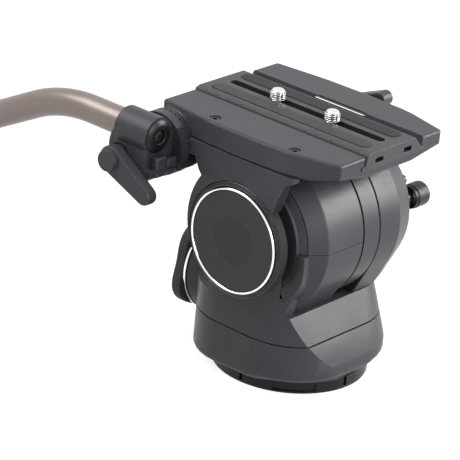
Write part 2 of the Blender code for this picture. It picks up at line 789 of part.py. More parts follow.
def axle_bore(near, far):
    return rod("X", (0, TILT_HEIGHT), AXLE_RADIUS + GAP, near - OVERRUN, far + OVERRUN)


def build_near_barrel():
    start = -DRUM_NEAR - GAP
    halves = {
        "barrel_upper": (TILT_HEIGHT + BARREL_SPLIT, TILT_HEIGHT + BARREL_RADIUS + OVERRUN),
        "barrel_lower": (LEDGE_HEIGHT + GAP, TILT_HEIGHT + BARREL_SPLIT - GAP),
    }
    for name, (low, high) in halves.items():
        profile = [
            (0, start),
            (BARREL_RADIUS, start),
            (BARREL_RADIUS, -BARREL_NEAR_END),
            (NEAR_CHAMFER_RADIUS, -NEAR_CHAMFER_END),
            (0, -NEAR_CHAMFER_END),
        ]
        barrel = turned(profile, "X", tilt_pivot(), name, BODY, FINE_STEPS)
        trim(barrel, barrel_keep(low, high))
        cut(barrel, axle_bore(-NEAR_CHAMFER_END, start))
    caps = {"near_cap_upper": halves["barrel_upper"], "near_cap_lower": halves["barrel_lower"]}
    for name, (low, high) in caps.items():
        profile = [
            (0, -NEAR_CHAMFER_END - GAP),
            (NEAR_CAP_RIM, -NEAR_CHAMFER_END - GAP),
            (NEAR_CAP_FACE_RADIUS, -NEAR_CAP_SHOULDER),
            (NEAR_CAP_FACE_RADIUS, -NEAR_CAP_FACE),
            (0, -NEAR_CAP_FACE),
        ]
        cap = turned(profile, "X", tilt_pivot(), name, BODY_DARK, FINE_STEPS)
        trim(cap, barrel_keep(low, high))
        cut(cap, axle_bore(-NEAR_CAP_FACE, -NEAR_CHAMFER_END))


def legged_ring(place, radius):
    """A ring of the far barrel: round above, with straight sides that lean in to its foot."""
    foot = LEDGE_HEIGHT + GAP
    lean = math.radians(LEG_LEAN)
    half = (radius - (TILT_HEIGHT - foot) * math.sin(lean)) / math.cos(lean)
    outline = arc(0, TILT_HEIGHT, radius, -LEG_LEAN, HALF_TURN + LEG_LEAN, LEG_STEPS)
    outline += [(-half, foot), (half, foot)]
    return [(place, across, up) for across, up in outline]


def build_far_barrel():
    start = DRUM_FAR + GAP
    rings = [
        legged_ring(start, BARREL_RADIUS),
        legged_ring(FAR_BARREL_END, BARREL_RADIUS),
        legged_ring(FAR_CHAMFER_END, FAR_CHAMFER_RADIUS),
    ]
    barrel = add_piece("far_barrel", loft(rings), BODY)
    cut(barrel, axle_bore(start, FAR_CHAMFER_END))
    cap_profile = [
        (0, FAR_CAP_FACE),
        (FAR_CAP_RADIUS, FAR_CAP_FACE),
        (FAR_CAP_RIM, FAR_CHAMFER_END + GAP),
        (0, FAR_CHAMFER_END + GAP),
    ]
    cap = turned(cap_profile, "X", tilt_pivot(), "far_cap", BODY, FINE_STEPS)
    cut(cap, rod("X", (0, TILT_HEIGHT), AXLE_RADIUS + GAP, 0, AXLE_FAR_END + GAP))
    seat = FAR_CAP_FACE - OVERRUN
    hole = rod("X", tilt_lock_place(), LOCK_NECK_RADIUS + GAP, seat, FAR_CAP_FACE + OVERRUN)
    cut(cap, hole)
    for number, angle in enumerate(CAP_SCREW_ANGLES, 1):
        across, up = polar(CAP_SCREW_CIRCLE, angle)
        place = (across, TILT_HEIGHT + up)
        base, top = FAR_CAP_FACE + GAP, FAR_CAP_FACE + CAP_SCREW_HEIGHT
        mesh = rod("X", place, CAP_SCREW_RADIUS, base, top)
        screw = add_piece(f"cap_screw_{number}", mesh, DARK_STEEL)
        cut(screw, hex_socket("X", place, CAP_SCREW_HEX, (base + top) / 2, top + OVERRUN))


def tilt_lock_place():
    across, up = polar(TILT_LOCK_CIRCLE, TILT_LOCK_ANGLE)
    return across, TILT_HEIGHT + up


def build_tilt_core():
    drum_mesh = rod("X", (0, TILT_HEIGHT), BARREL_RADIUS, -DRUM_NEAR, DRUM_FAR, FINE_STEPS)
    drum = add_piece("middle_drum", drum_mesh, BODY, tilt_pivot())
    cut(drum, axle_bore(-DRUM_NEAR, DRUM_FAR))
    axle = rod("X", (0, TILT_HEIGHT), AXLE_RADIUS, -AXLE_NEAR_END, AXLE_FAR_END)
    add_piece("tilt_axle", axle, STEEL, tilt_pivot())


def side_curve(spread):
    """One side of the platform's plan, front to rear. The spread moves all but its ends outwards."""
    front, rear = -PLATFORM_FRONT, PLATFORM_REAR
    length = rear - front
    middle = (rear + front) / 2
    wide = MID_HALF_WIDTH + spread
    side = [
        (FRONT_HALF_WIDTH, front),
        (wide - FRONT_SIDE_INSET, middle + length * FRONT_PLACE_SHARE),
        (wide, middle),
        (wide - REAR_SIDE_INSET, middle + length * REAR_PLACE_SHARE),
        (REAR_HALF_WIDTH, rear),
    ]
    smooth = [side[0]]
    for before, here, after in zip(side, side[1:], side[2:]):
        for beside in (before, after):
            smooth.append(tuple(h + (b - h) * SMOOTH_SHARE for h, b in zip(here, beside)))
    smooth.append(side[-1])
    return smooth


def wing_spread():
    """How far the near side leans out between the platform's top and its underside."""
    return WING_LEAN * PLATFORM_THICKNESS


def platform_ring(height, spread):
    near = [(-across, along) for across, along in reversed(side_curve(spread))]
    return [(across, along, height) for across, along in side_curve(0) + near]


def corner_wedge(side, end):
    """Cuts the underside away towards one corner. side and end are 1 or -1."""
    outer = MID_HALF_WIDTH + wing_spread() + OVERRUN
    tip = PLATFORM_FRONT if end < 0 else PLATFORM_REAR
    level = PLATFORM_BOTTOM
    reach = tip + OVERRUN
    rise = CORNER_LIFT * (CORNER_RUN + OVERRUN) / CORNER_RUN
    edge = (side * outer, end * (tip - CORNER_RUN), level)
    inner = (side * CORNER_IN, end * reach, level)
    raised = (side * outer, end * reach, level + rise)
    top = [edge, inner, raised]
    return loft([top, [(x, y, level - CORNER_LIFT) for x, y, z in top]])


def channel_outline():
    top = PLATFORM_TOP + OVERRUN
    return [
        (-CHANNEL_NEAR, top),
        (-CHANNEL_NEAR, UNDERCUT_TOP),
        (-CHANNEL_NEAR - UNDERCUT, UNDERCUT_TOP),
        (-CHANNEL_NEAR - UNDERCUT, CHANNEL_FLOOR),
        (CHANNEL_FAR_FOOT + UNDERCUT, CHANNEL_FLOOR),
        (CHANNEL_FAR_FOOT + UNDERCUT, UNDERCUT_TOP),
        (CHANNEL_FAR_FOOT, UNDERCUT_TOP),
        (CHANNEL_FAR, PLATFORM_TOP),
        (CHANNEL_FAR, top),
    ]


def near_boss(height, keeps_top):
    """The part above or below a height of the round boss that carries the rosette."""
    place = (ROSETTE_Y, ROSETTE_Z)
    boss = bmesh.new()
    boss.from_mesh(rod("X", place, BOSS_RADIUS, -ARM_OUTER, -BOSS_INNER, ROUND_STEPS))
    bmesh.ops.bisect_plane(
        boss,
        geom=[*boss.verts, *boss.edges, *boss.faces],
        plane_co=(0, 0, height),
        plane_no=(0, 0, 1),
        clear_inner=keeps_top,
        clear_outer=not keeps_top,
    )
    bmesh.ops.holes_fill(boss, edges=boss.edges)
    return finished_mesh(boss)


def rosette_room():
    """The space beside the boss that the rosette and the clamp's hub turn in."""
    place = (ROSETTE_Y, ROSETTE_Z)
    near = -ARM_RIM - OVERRUN
    return rod("X", place, ROSETTE_RADIUS + GAP, near, -ARM_OUTER, ROUND_STEPS)


def build_platform():
    rings = [platform_ring(PLATFORM_BOTTOM, wing_spread()), platform_ring(PLATFORM_TOP, 0)]
    platform = add_piece("platform", loft(rings), BODY, tilt_pivot())
    for side in (-1, 1):
        for end in (-1, 1):
            if (side, end) != (-1, 1):
                cut(platform, corner_wedge(side, end))
    bevel(platform, EDGE_BEVEL, EVEN_BEVEL_ANGLE)
    join(platform, near_boss(PLATFORM_BOTTOM, True))
    cut(platform, rosette_room())
    front, rear = -PLATFORM_FRONT - OVERRUN, PLATFORM_REAR + ROSETTE_RADIUS
    cut(platform, prism_along_y(channel_outline(), front, rear))
    low = (CHANNEL_FAR_FOOT - OVERRUN, -BAR_FRONT - GAP, BAR_BOTTOM - GAP)
    high = (BAR_FAR + BAR_TRAVEL + GAP, BAR_REAR + GAP, PLATFORM_TOP + OVERRUN)
    cut(platform, block(low, high))
    for place in WING_SCREW_PLACES:
        hole = WING_SCREW_RADIUS + GAP
        floor = PLATFORM_TOP - WING_SCREW_DEPTH - WING_SCREW_SINK - GAP
        cut(platform, rod("Z", (WING_SCREW_X, place), hole, floor, PLATFORM_TOP + OVERRUN))
    return platform


def build_wing_screws():
    top = PLATFORM_TOP - WING_SCREW_SINK
    for number, along in enumerate(WING_SCREW_PLACES, 1):
        place = (WING_SCREW_X, along)
        mesh = rod("Z", place, WING_SCREW_RADIUS, top - WING_SCREW_DEPTH, top)
        screw = add_piece(f"wing_screw_{number}", mesh, DARK_STEEL, tilt_pivot())
        socket = top - WING_SCREW_DEPTH / 2
        cut(screw, hex_socket("Z", place, WING_SCREW_HEX, socket, top + OVERRUN))


def arm_outline():
    """The near arm from the side: wide under the platform, round behind, open in front of the dial."""
    top = PLATFORM_BOTTOM - GAP
    notch = PLATFORM_BOTTOM - NOTCH_DROP
    centre = TILT_HEIGHT + LOBE_RISE
    lobe = arc(LOBE_SHIFT, centre, LOBE_RADIUS, LOBE_START, LOBE_END, LONG_ARC_STEPS)
    hub = arc(0, TILT_HEIGHT, HUB_RADIUS, HUB_START, HUB_END, HOLLOW_STEPS)
    tip_across, tip_up = polar(DIAL_RADIUS + TIP_RIM, TIP_ANGLE)
    return [
        *lobe,
        (NOTCH_Y, notch),
        (ROSETTE_Y, notch),
        (ROSETTE_Y, top),
        (-ARM_FRONT, top),
        (-CHIN_Y, PLATFORM_BOTTOM - CHIN_DROP),
        (-NECK_Y, PLATFORM_BOTTOM - NECK_DROP),
        (tip_across, TILT_HEIGHT + tip_up),
        *hub,
    ]


def leaning_side():
    """The space behind the arm's face, which leans out from the platform's edge and then drops."""
    low = TILT_HEIGHT - BARREL_RADIUS
    bend = PLATFORM_TOP - (ARM_RIM - MID_HALF_WIDTH) / WING_LEAN
    outline = [
        (-ARM_RIM, low),
        (-ARM_RIM, bend),
        (-MID_HALF_WIDTH, PLATFORM_TOP),
        (0, PLATFORM_TOP),
        (0, low),
    ]
    return prism_along_y(outline, -PLATFORM_FRONT, PLATFORM_REAR + ROSETTE_RADIUS)


def build_near_arm():
    near = -ARM_RIM - OVERRUN
    mesh = prism(arm_outline(), near, -ARM_INNER, "X")
    arm = trim(add_piece("near_arm", mesh, BODY, tilt_pivot()), leaning_side())
    join(arm, near_boss(PLATFORM_BOTTOM - GAP, False))
    cut(arm, rosette_room())
    room = DIAL_RADIUS + DIAL_CLEARANCE
    cut(arm, rod("X", (0, TILT_HEIGHT), room, near, -ARM_OUTER, FINE_STEPS))
    cut(arm, axle_bore(-ARM_OUTER, -ARM_INNER))


def toothed_ring(place, radius, tooth):
    """A ring of the rosette, with every second point raised by the tooth."""
    ring = []
    count = 2 * ROSETTE_TEETH
    for index in range(count):
        across, up = polar(radius, FULL_TURN * index / count)
        lift = tooth * (index % 2)
        ring.append((-place - lift, ROSETTE_Y + across, ROSETTE_Z + up))
    return ring


def build_rosette():
    rings = [
        toothed_ring(ARM_OUTER + GAP, ROSETTE_RADIUS, 0),
        toothed_ring(ROSETTE_FACE, ROSETTE_RADIUS, ROSETTE_TOOTH),
        toothed_ring(ROSETTE_FACE, ROSETTE_TOOTH_INNER, 0),
    ]
    add_piece("near_rosette", loft(rings), BODY_DARK, tilt_pivot())


def build_near_dial():
    pivot = tilt_pivot()
    drum_profile = [
        (0, -DIAL_NEAR),
        (DIAL_RADIUS, -DIAL_NEAR),
        (DIAL_RADIUS, -DIAL_RIM + SOFT_EDGE),
        (DIAL_EDGE, -DIAL_RIM),
        (RING_OUTER + GAP, -DIAL_RIM),
        (RING_OUTER + GAP, -RING_SEAT),
        (0, -RING_SEAT),
    ]
    drum = turned(drum_profile, "X", pivot, "dial_drum", BODY_DARK, FINE_STEPS)
    cut(drum, rod("X", (0, TILT_HEIGHT), AXLE_RADIUS + GAP, -DIAL_NEAR - AXLE_POCKET, 0))
    ring_profile = [
        (RING_OUTER, -RING_SEAT - GAP),
        (RING_OUTER, -RING_FACE + GAP),
        ((RING_OUTER + RING_INNER) / 2, -RING_FACE),
        (RING_INNER, -RING_FACE + GAP),
        (RING_INNER, -RING_SEAT - GAP),
    ]
    turned(ring_profile, "X", pivot, "dial_ring", SILVER, FINE_STEPS, closed=True)
    face_profile = [
        (0, -RING_SEAT - GAP),
        (RING_INNER - GAP, -RING_SEAT - GAP),
        (RING_INNER - GAP, -DIAL_FACE),
        (DISC_RADIUS + GAP, -DIAL_FACE),
        (DISC_RADIUS + GAP, -DIAL_FACE + DISC_DEPTH),
        (0, -DIAL_FACE + DISC_DEPTH),
    ]
    turned(face_profile, "X", pivot, "dial_face", BODY, FINE_STEPS)
    disc_profile = [
        (0, -DIAL_FACE + DISC_DEPTH - GAP),
        (DISC_RADIUS, -DIAL_FACE + DISC_DEPTH - GAP),
        (DISC_RADIUS, -DIAL_FACE),
        (0, -DIAL_FACE),
    ]
    turned(disc_profile, "X", pivot, "dial_disc", BODY_DARK, ROUND_STEPS)


def grip_outline():
    """The lobed outline of the rear grip, about its axis, in X and Z."""
    points = []
    for step in range(FINE_STEPS):
        angle = FULL_TURN * step / FINE_STEPS
        swell = math.cos(math.radians(REAR_GRIP_LOBES * (angle - REAR_GRIP_TURN)))
        across, up = polar(REAR_GRIP_RADIUS + REAR_GRIP_LOBE * swell, angle)
        points.append((across, REAR_AXIS_Z + up))
    return points


def build_rear_dial():
    pivot = (0, 0, REAR_AXIS_Z)
    shaft_end = HOUSING_REAR - REAR_SHAFT_DEPTH
    cone_profile = [
        (0, REAR_RING_START - GAP),
        (REAR_RING_RADIUS - SOFT_EDGE, REAR_RING_START - GAP),
        (REAR_CONE_RADIUS, REAR_CONE_START),
        (REAR_SHAFT_RADIUS, REAR_CONE_START),
        (REAR_SHAFT_RADIUS, shaft_end),
        (0, shaft_end),
    ]
    turned(cone_profile, "Y", pivot, "rear_dial_base", BODY, FINE_STEPS)
    ring_profile = [
        (REAR_RING_INNER, REAR_RING_END),
        (REAR_RING_RADIUS, REAR_RING_END),
        (REAR_RING_RADIUS, REAR_RING_START),
        (REAR_RING_INNER, REAR_RING_START),
    ]
    turned(ring_profile, "Y", pivot, "rear_dial_ring", SILVER, FINE_STEPS, closed=True)
    grip_mesh = prism_along_y(grip_outline(), REAR_RING_END + GAP, REAR_GRIP_END)
    grip = add_piece("rear_dial_grip", grip_mesh, RUBBER, pivot)
    bevel(grip, REAR_GRIP_BEVEL, RIM_BEVEL_ANGLE)
    axis = (0, REAR_AXIS_Z)
    recess = REAR_GRIP_END - REAR_DISC_DEPTH
    cut(grip, rod("Y", axis, REAR_DISC_RADIUS + GAP, recess, REAR_GRIP_END + OVERRUN, ROUND_STEPS))
    disc = rod("Y", axis, REAR_DISC_RADIUS, recess + GAP, REAR_GRIP_END, ROUND_STEPS)
    add_piece("rear_dial_disc", disc, BODY, pivot)


def build_lock_knob(prefix, place, wall):
    """A neck in the far wall, and a collar and a ribbed knob that turn on it."""
    pivot = (0, *place)
    tip = wall + LOCK_NECK_LENGTH
    neck = rod("X", place, LOCK_NECK_RADIUS, wall + GAP, tip, SMALL_STEPS, LOCK_NECK_TIP)
    add_piece(prefix + "_neck", neck, STEEL, pivot)
    start = tip + GAP
    collar = rod("X", place, COLLAR_RADIUS, start, start + COLLAR_LENGTH)
    add_piece(prefix + "_collar", collar, BLACK_BASE, pivot)
    low = start + COLLAR_LENGTH + GAP
    profile = [
        (0, low + KNOB_LENGTH),
        (KNOB_RADIUS - KNOB_EDGE, low + KNOB_LENGTH),
        (KNOB_RADIUS, low + KNOB_LENGTH - KNOB_EDGE),
        (KNOB_RADIUS, low),
        (0, low),
    ]
    turned(profile, "X", pivot, prefix + "_knob", BODY, SMALL_STEPS)


def plate_outline():
    foot = CHANNEL_FLOOR + GAP
    lip = UNDERCUT_TOP - GAP
    return [
        (-PLATE_NEAR_TOP, PLATE_TOP),
        (-PLATE_NEAR_BEVEL, PLATE_TOP - PLATE_BEVEL_DROP),
        (-PLATE_NEAR_FOOT, UNDERCUT_TOP),
        (-PLATE_NEAR_FOOT, lip),
        (-CHANNEL_NEAR - UNDERCUT + GAP, lip),
        (-CHANNEL_NEAR - UNDERCUT + GAP, foot),
        (CHANNEL_FAR_FOOT + UNDERCUT - GAP, foot),
        (CHANNEL_FAR_FOOT + UNDERCUT - GAP, lip),
        (PLATE_FAR_FOOT, lip),
        (PLATE_FAR_FOOT, UNDERCUT_TOP),
        (PLATE_FAR_TOP, PLATE_TOP),
    ]


def slot_outline(half_width, front, rear):
    """A long outline with round ends, about the slot's middle line."""
    outline = arc(SLOT_X, front + half_width, half_width, HALF_TURN, FULL_TURN, END_STEPS)
    return outline + arc(SLOT_X, rear - half_width, half_width, 0, HALF_TURN, END_STEPS)


def build_slide_plate():
    mesh = prism_along_y(plate_outline(), -PLATE_FRONT, PLATE_REAR)
    plate = add_piece("slide_plate", mesh, PLATE_FINISH)
    slot = slot_outline(SLOT_HALF_WIDTH, -SLOT_FRONT, SLOT_REAR)
    cut(plate, prism(slot, CHANNEL_FLOOR, PLATE_TOP + OVERRUN))
    rail = slot_outline(RAIL_HALF_WIDTH, -SLOT_FRONT - NECK_RADIUS, SLOT_REAR + NECK_RADIUS)
    cut(plate, prism(rail, CHANNEL_FLOOR, RAIL_TOP))
    for centre in (POCKET_NEAR_X, POCKET_FAR_X):
        low = (centre - POCKET_HALF_WIDTH, -PLATE_FRONT - OVERRUN, POCKET_BOTTOM)
        high = (centre + POCKET_HALF_WIDTH, -PLATE_FRONT + POCKET_DEPTH, POCKET_TOP)
        cut(plate, block(low, high))
    line_low = (POCKET_NEAR_X, -PLATE_FRONT - OVERRUN, POCKET_BOTTOM)
    line_high = (POCKET_FAR_X, -PLATE_FRONT + LINE_DEPTH, POCKET_BOTTOM + GAP)
    cut(plate, block(line_low, line_high))
    for name, centre in (("near_pad", PAD_NEAR_X), ("far_pad", PAD_FAR_X)):
        front, rear = -PAD_FRONT, PAD_REAR
        half = PAD_HALF_WIDTH
        outline = arc(centre, front + half, half, HALF_TURN, FULL_TURN, END_STEPS)
        outline += arc(centre, rear - half, half, 0, HALF_TURN, END_STEPS)
        seat = PLATE_TOP - PAD_HEIGHT
        grown = [
            (centre + (x - centre) * (half + GAP) / half, y + math.copysign(GAP, y))
            for x, y in outline
        ]
        cut(plate, prism(grown, seat - GAP, PLATE_TOP + OVERRUN))
        add_piece(name, prism(outline, seat, PLATE_TOP + PAD_HEIGHT), RUBBER)


def camera_screw_profile():
    """A domed, threaded stud on a neck and a head. Places are heights above the screw's foot."""
    foot = CHANNEL_FLOOR + SCREW_LIFT
    head = foot + SCREW_HEAD_HEIGHT
    thread = PLATE_TOP + PAD_HEIGHT + GAP
    top = thread + THREAD_PITCH * THREAD_TURNS
    root = THREAD_RADIUS - THREAD_DEPTH
    shoulder = (root * DOME_WIDTH_SHARE, top + THREAD_DOME * DOME_HEIGHT_SHARE)
    profile = [(0, top + THREAD_DOME), shoulder, (root, top)]
    for turn in range(THREAD_TURNS):
        peak = top - THREAD_PITCH * (turn + 1 / 2)
        valley = top - THREAD_PITCH * (turn + 1)
        profile += [(THREAD_RADIUS, peak), (root, valley)]
    profile += [
        (NECK_RADIUS, thread),
        (NECK_RADIUS, head),
        (SCREW_HEAD_RADIUS, head),
        (SCREW_HEAD_RADIUS, foot),
        (0, foot),
    ]
    return profile


def build_camera_screws():
    foot = CHANNEL_FLOOR + SCREW_LIFT
    for label, along in (("front", SCREW_FRONT_Y), ("rear", SCREW_REAR_Y)):
        pivot = (SLOT_X, along, 0)
        name = f"camera_screw_{label}"
        turned(camera_screw_profile(), "Z", pivot, name, STEEL, SMALL_STEPS)
        low = foot + SCREW_HEAD_HEIGHT + GAP
        half = RAIL_HALF_WIDTH - GAP
        corner = (SLOT_X - half, along - CARRIER_HALF_LENGTH, low)
        far = (SLOT_X + half, along + CARRIER_HALF_LENGTH, low + CARRIER_HEIGHT)
        carrier = add_piece(f"screw_carrier_{label}", block(corner, far), DARK_STEEL, pivot)
        place = (SLOT_X, along)
        cut(carrier, rod("Z", place, CARRIER_BORE, low - OVERRUN, low + CARRIER_HEIGHT + OVERRUN))


def build_clamp_bar():
    outline = [
        (BAR_NEAR_TOP, BAR_TOP),
        (BAR_NEAR_FOOT, BAR_BOTTOM),
        (BAR_FAR, BAR_BOTTOM),
        (BAR_FAR, BAR_TOP),
    ]
    add_piece("clamp_bar", prism_along_y(outline, -BAR_FRONT, BAR_REAR), SILVER)


def lever_outline(hub, hub_radius, tip, tip_radius):
    """A flat lever seen along X: round about its hub and its tip, straight between them."""
    across, up = tip[0] - hub[0], tip[1] - hub[1]
    length = math.hypot(across, up)
    heading = math.degrees(math.atan2(up, across))
    lean = math.degrees(math.acos((hub_radius - tip_radius) / length))
    outline = arc(*hub, hub_radius, heading + lean, heading + FULL_TURN - lean, LONG_ARC_STEPS)
    return outline + arc(*tip, tip_radius, heading - lean, heading + lean, END_STEPS)


def build_plate_lock():
    hub = (LOCK_Y, LOCK_Z)
    pivot = (0, *hub)
    outline = lever_outline(hub, LOCK_BOSS_RADIUS, (LOCK_TIP_Y, LOCK_TIP_Z), LOCK_TIP_RADIUS)
    mesh = prism(outline, LOCK_ARM_NEAR, LOCK_END, "X")
    lever = add_piece("plate_lock_lever", mesh, BODY, pivot)
    bevel(lever, SOFT_EDGE, RIM_BEVEL_ANGLE, 1)
    start = MID_HALF_WIDTH + GAP
    join(lever, rod("X", hub, LOCK_BOSS_RADIUS - SOFT_EDGE, start, LOCK_ARM_NEAR + OVERRUN))


def build_lock_bracket(platform):
    """The far wing's boss that the plate lock lever turns on."""
    low = MID_HALF_WIDTH - LOCK_BOSS_RADIUS
    mesh = rod("X", (LOCK_Y, LOCK_Z), LOCK_BOSS_RADIUS, low, MID_HALF_WIDTH)
    join(platform, mesh)


def ear_mesh():
    """The clamp's body beside the rosette: round below, cut away in front of the tube holder."""
    hub = (ROSETTE_Y, ROSETTE_Z)
    radius = ROSETTE_RADIUS - SOFT_EDGE
    mesh = rod("X", hub, radius, -EAR_OUTER, -HUB_OUTER + OVERRUN, ROUND_STEPS)
    ear = add_piece("ear", mesh, BODY)
    reach = ROSETTE_Z + ROSETTE_RADIUS + OVERRUN
    near = -EAR_OUTER - OVERRUN
    cut(ear, block((near, 0, EAR_STEP_Z), (-HUB_OUTER, EAR_STEP_Y, reach)))
    cut(ear, block((near, 0, HOLDER_Z), (-HUB_OUTER, HOLDER_REAR + HOLDER_LENGTH, reach)))
    return evaluated_mesh(ear)


def evaluated_mesh(piece):
    """The piece's finished mesh in world places. The piece itself is removed."""
    bpy.context.view_layer.update()
    graph = bpy.context.evaluated_depsgraph_get()
    mesh = bpy.data.meshes.new_from_object(piece.evaluated_get(graph))
    mesh.transform(piece.matrix_world)
    group = piece.users_collection[0]
    bpy.data.objects.remove(piece)
    bpy.data.collections.remove(group)
    return mesh


def build_handle_clamp():
    hub = (ROSETTE_Y, ROSETTE_Z)
    pivot = (0, *hub)
    mesh = rod("X", hub, ROSETTE_RADIUS, -HUB_OUTER, -HUB_INNER, ROUND_STEPS)
    clamp = add_piece("handle_clamp", mesh, BODY, pivot)
    join(clamp, ear_mesh())
    axis = (HOLDER_X, HOLDER_Z)
    join(clamp, rod("Y", axis, HOLDER_RADIUS, HOLDER_FRONT, HOLDER_REAR, ROUND_STEPS))
    web = (-EAR_OUTER, HOLDER_FRONT, EAR_STEP_Z - OVERRUN)
    join(clamp, block(web, (-HUB_OUTER + OVERRUN, HOLDER_REAR, HOLDER_Z)))
    mouth = ROSETTE_Y + ROSETTE_RADIUS + OVERRUN
    cut(clamp, rod("Y", axis, TUBE_RADIUS + GAP, TUBE_SEAT, mouth, ROUND_STEPS))
    plug_end = TUBE_SEAT - OVERRUN
    cut(clamp, rod("Y", axis, PLUG_RADIUS + GAP, HOLDER_FRONT - OVERRUN, plug_end, ROUND_STEPS))
    wing = (WING_Y, WING_Z)
    seat = WING_BOSS_RADIUS + GAP
    cut(clamp, rod("X", wing, seat, -EAR_OUTER - OVERRUN, -WING_BOSS_START + GAP))
    cut(clamp, rod("X", wing, WING_STUD_RADIUS + GAP, -EAR_OUTER, -WING_STUD_END + GAP))


def build_holder_plug():
    """The domed plug with a hexagon socket that closes the holder's front end."""
    front = HOLDER_FRONT - GAP
    profile = [
        (0, TUBE_SEAT - OVERRUN - GAP),
        (PLUG_RADIUS, TUBE_SEAT - OVERRUN - GAP),
        (PLUG_RADIUS, front),
        (PLUG_DOME_RADIUS, front),
        (PLUG_DOME_RADIUS - SOFT_EDGE, front - PLUG_DOME / 2),
        (PLUG_DOME_RADIUS / 2, front - PLUG_DOME),
        (0, front - PLUG_DOME),
    ]
    axis = (HOLDER_X, HOLDER_Z)
    plug = turned(profile, "Y", (HOLDER_X, 0, HOLDER_Z), "holder_plug", BODY_DARK, ROUND_STEPS)
    face = front - PLUG_DOME
    cut(plug, hex_socket("Y", axis, PLUG_HEX, face - OVERRUN, face + PLUG_HEX_DEPTH))
    hang((plug,), "handle_angle_axis", (0, ROSETTE_Y, ROSETTE_Z))


def build_wing_lever():
    hub = (WING_Y, WING_Z)
    pivot = (0, *hub)
    outline = lever_outline(hub, WING_BOSS_RADIUS, (WING_TIP_Y, WING_TIP_Z), WING_TIP_RADIUS)
    mesh = prism(outline, -WING_ARM_OUTER, -WING_ARM_INNER, "X")
    lever = add_piece("wing_lever", mesh, BODY, pivot)
    bevel(lever, WING_EDGE, RIM_BEVEL_ANGLE)
    boss = rod(
        "X",
        hub,
        WING_BOSS_TIP,
        -WING_BOSS_END,
        -WING_BOSS_START,
        SMALL_STEPS,
        WING_BOSS_RADIUS,
    )
    join(lever, boss)
    stud = rod("X", hub, WING_STUD_RADIUS, -WING_BOSS_START - OVERRUN, -WING_STUD_END, STUD_STEPS)
    join(lever, stud)


def handle_path():
    """The tube's middle line: straight through the clamp, bent down, then straight to the grip."""
    points = [(HOLDER_X, TUBE_SEAT + GAP, HOLDER_Z)]
    for step in range(BEND_STEPS + 1):
        angle = math.radians(BEND_ANGLE * step / BEND_STEPS)
        along = BEND_START + BEND_RADIUS * math.sin(angle)
        drop = BEND_RADIUS * (1 - math.cos(angle))
        points.append((HOLDER_X, along, HOLDER_Z - drop))
    end = math.radians(BEND_ANGLE)
    last = points[-1]
    run, fall = HANDLE_STRAIGHT * math.cos(end), HANDLE_STRAIGHT * math.sin(end)
    points.append((HOLDER_X, last[1] + run, last[2] - fall))
    return points


def build_tube():
    curve = bpy.data.curves.new("tube_path", "CURVE")
    curve.dimensions = "3D"
    curve.bevel_depth = TUBE_RADIUS
    curve.bevel_resolution = TUBE_RESOLUTION
    curve.use_fill_caps = True
    line = curve.splines.new("POLY")
    points = handle_path()
    line.points.add(len(points) - 1)
    for target, point in zip(line.points, points):
        target.co = (*point, 1)
    guide = bpy.data.objects.new("tube_path", curve)
    bpy.context.scene.collection.objects.link(guide)
    bpy.context.view_layer.update()
    graph = bpy.context.evaluated_depsgraph_get()
    mesh = bpy.data.meshes.new_from_object(guide.evaluated_get(graph))
    bpy.data.objects.remove(guide)
    shape = bmesh.new()
    shape.from_mesh(mesh)
    bmesh.ops.remove_doubles(shape, verts=shape.verts, dist=MERGE_DISTANCE)
    pivot = (HOLDER_X, HOLDER_FRONT, HOLDER_Z)
    return add_piece("handle_tube", finished_mesh(shape), TUBE_FINISH, pivot), points[-1]


def build_grip(end):
    """The ribbed rubber grip over the tube's end, and the cap that closes it."""
    angle = math.radians(BEND_ANGLE)
    turn = (-math.pi / 2 - angle, 0, 0)
    rib = GRIP_LENGTH / GRIP_RIBS
    profile = [(TUBE_RADIUS + GAP, 0), (GRIP_RADIUS, 0)]
    for number in range(GRIP_RIBS):
        start = -rib * number
        profile += [
            (GRIP_RADIUS, start - rib * RIB_SHARE),
            (GRIP_RADIUS - GRIP_RIB_DEPTH, start - rib * GROOVE_START_SHARE),
            (GRIP_RADIUS - GRIP_RIB_DEPTH, start - rib * GROOVE_END_SHARE),
            (GRIP_RADIUS, start - rib),
        ]
    profile += [(TUBE_RADIUS + GAP, -GRIP_LENGTH)]
    grip = turned(profile, "Y", end, "handle_grip", RUBBER, SMALL_STEPS, closed=True)
    grip.rotation_euler = turn
    cap_profile = [
        (0, END_CAP_LENGTH),
        (END_CAP_RADIUS - KNOB_EDGE, END_CAP_LENGTH),
        (END_CAP_RADIUS, END_CAP_LENGTH - KNOB_EDGE),
        (END_CAP_RADIUS, GAP),
        (0, GAP),
    ]
    cap = turned(cap_profile, "Y", end, "handle_end_cap", BODY_DARK, SMALL_STEPS)
    cap.rotation_euler = turn
    return grip, cap


def build_pan_handle():
    tube, end = build_tube()
    grip, cap = build_grip(end)
    hang((tube, grip, cap), "handle_roll_axis", (HOLDER_X, HOLDER_FRONT, HOLDER_Z))


def smooth_pieces():
    """Shades round faces smooth and keeps the real edges sharp."""
    for piece in bpy.data.objects:
        if piece.hide_render or piece.type != "MESH":
            continue
        if piece.data.polygons:
            piece.data.shade_smooth()
            piece.data.set_sharp_from_angle(angle=math.radians(SHARP_ANGLE))
        shading = piece.modifiers.new("shading", "WEIGHTED_NORMAL")
        shading.keep_sharp = True


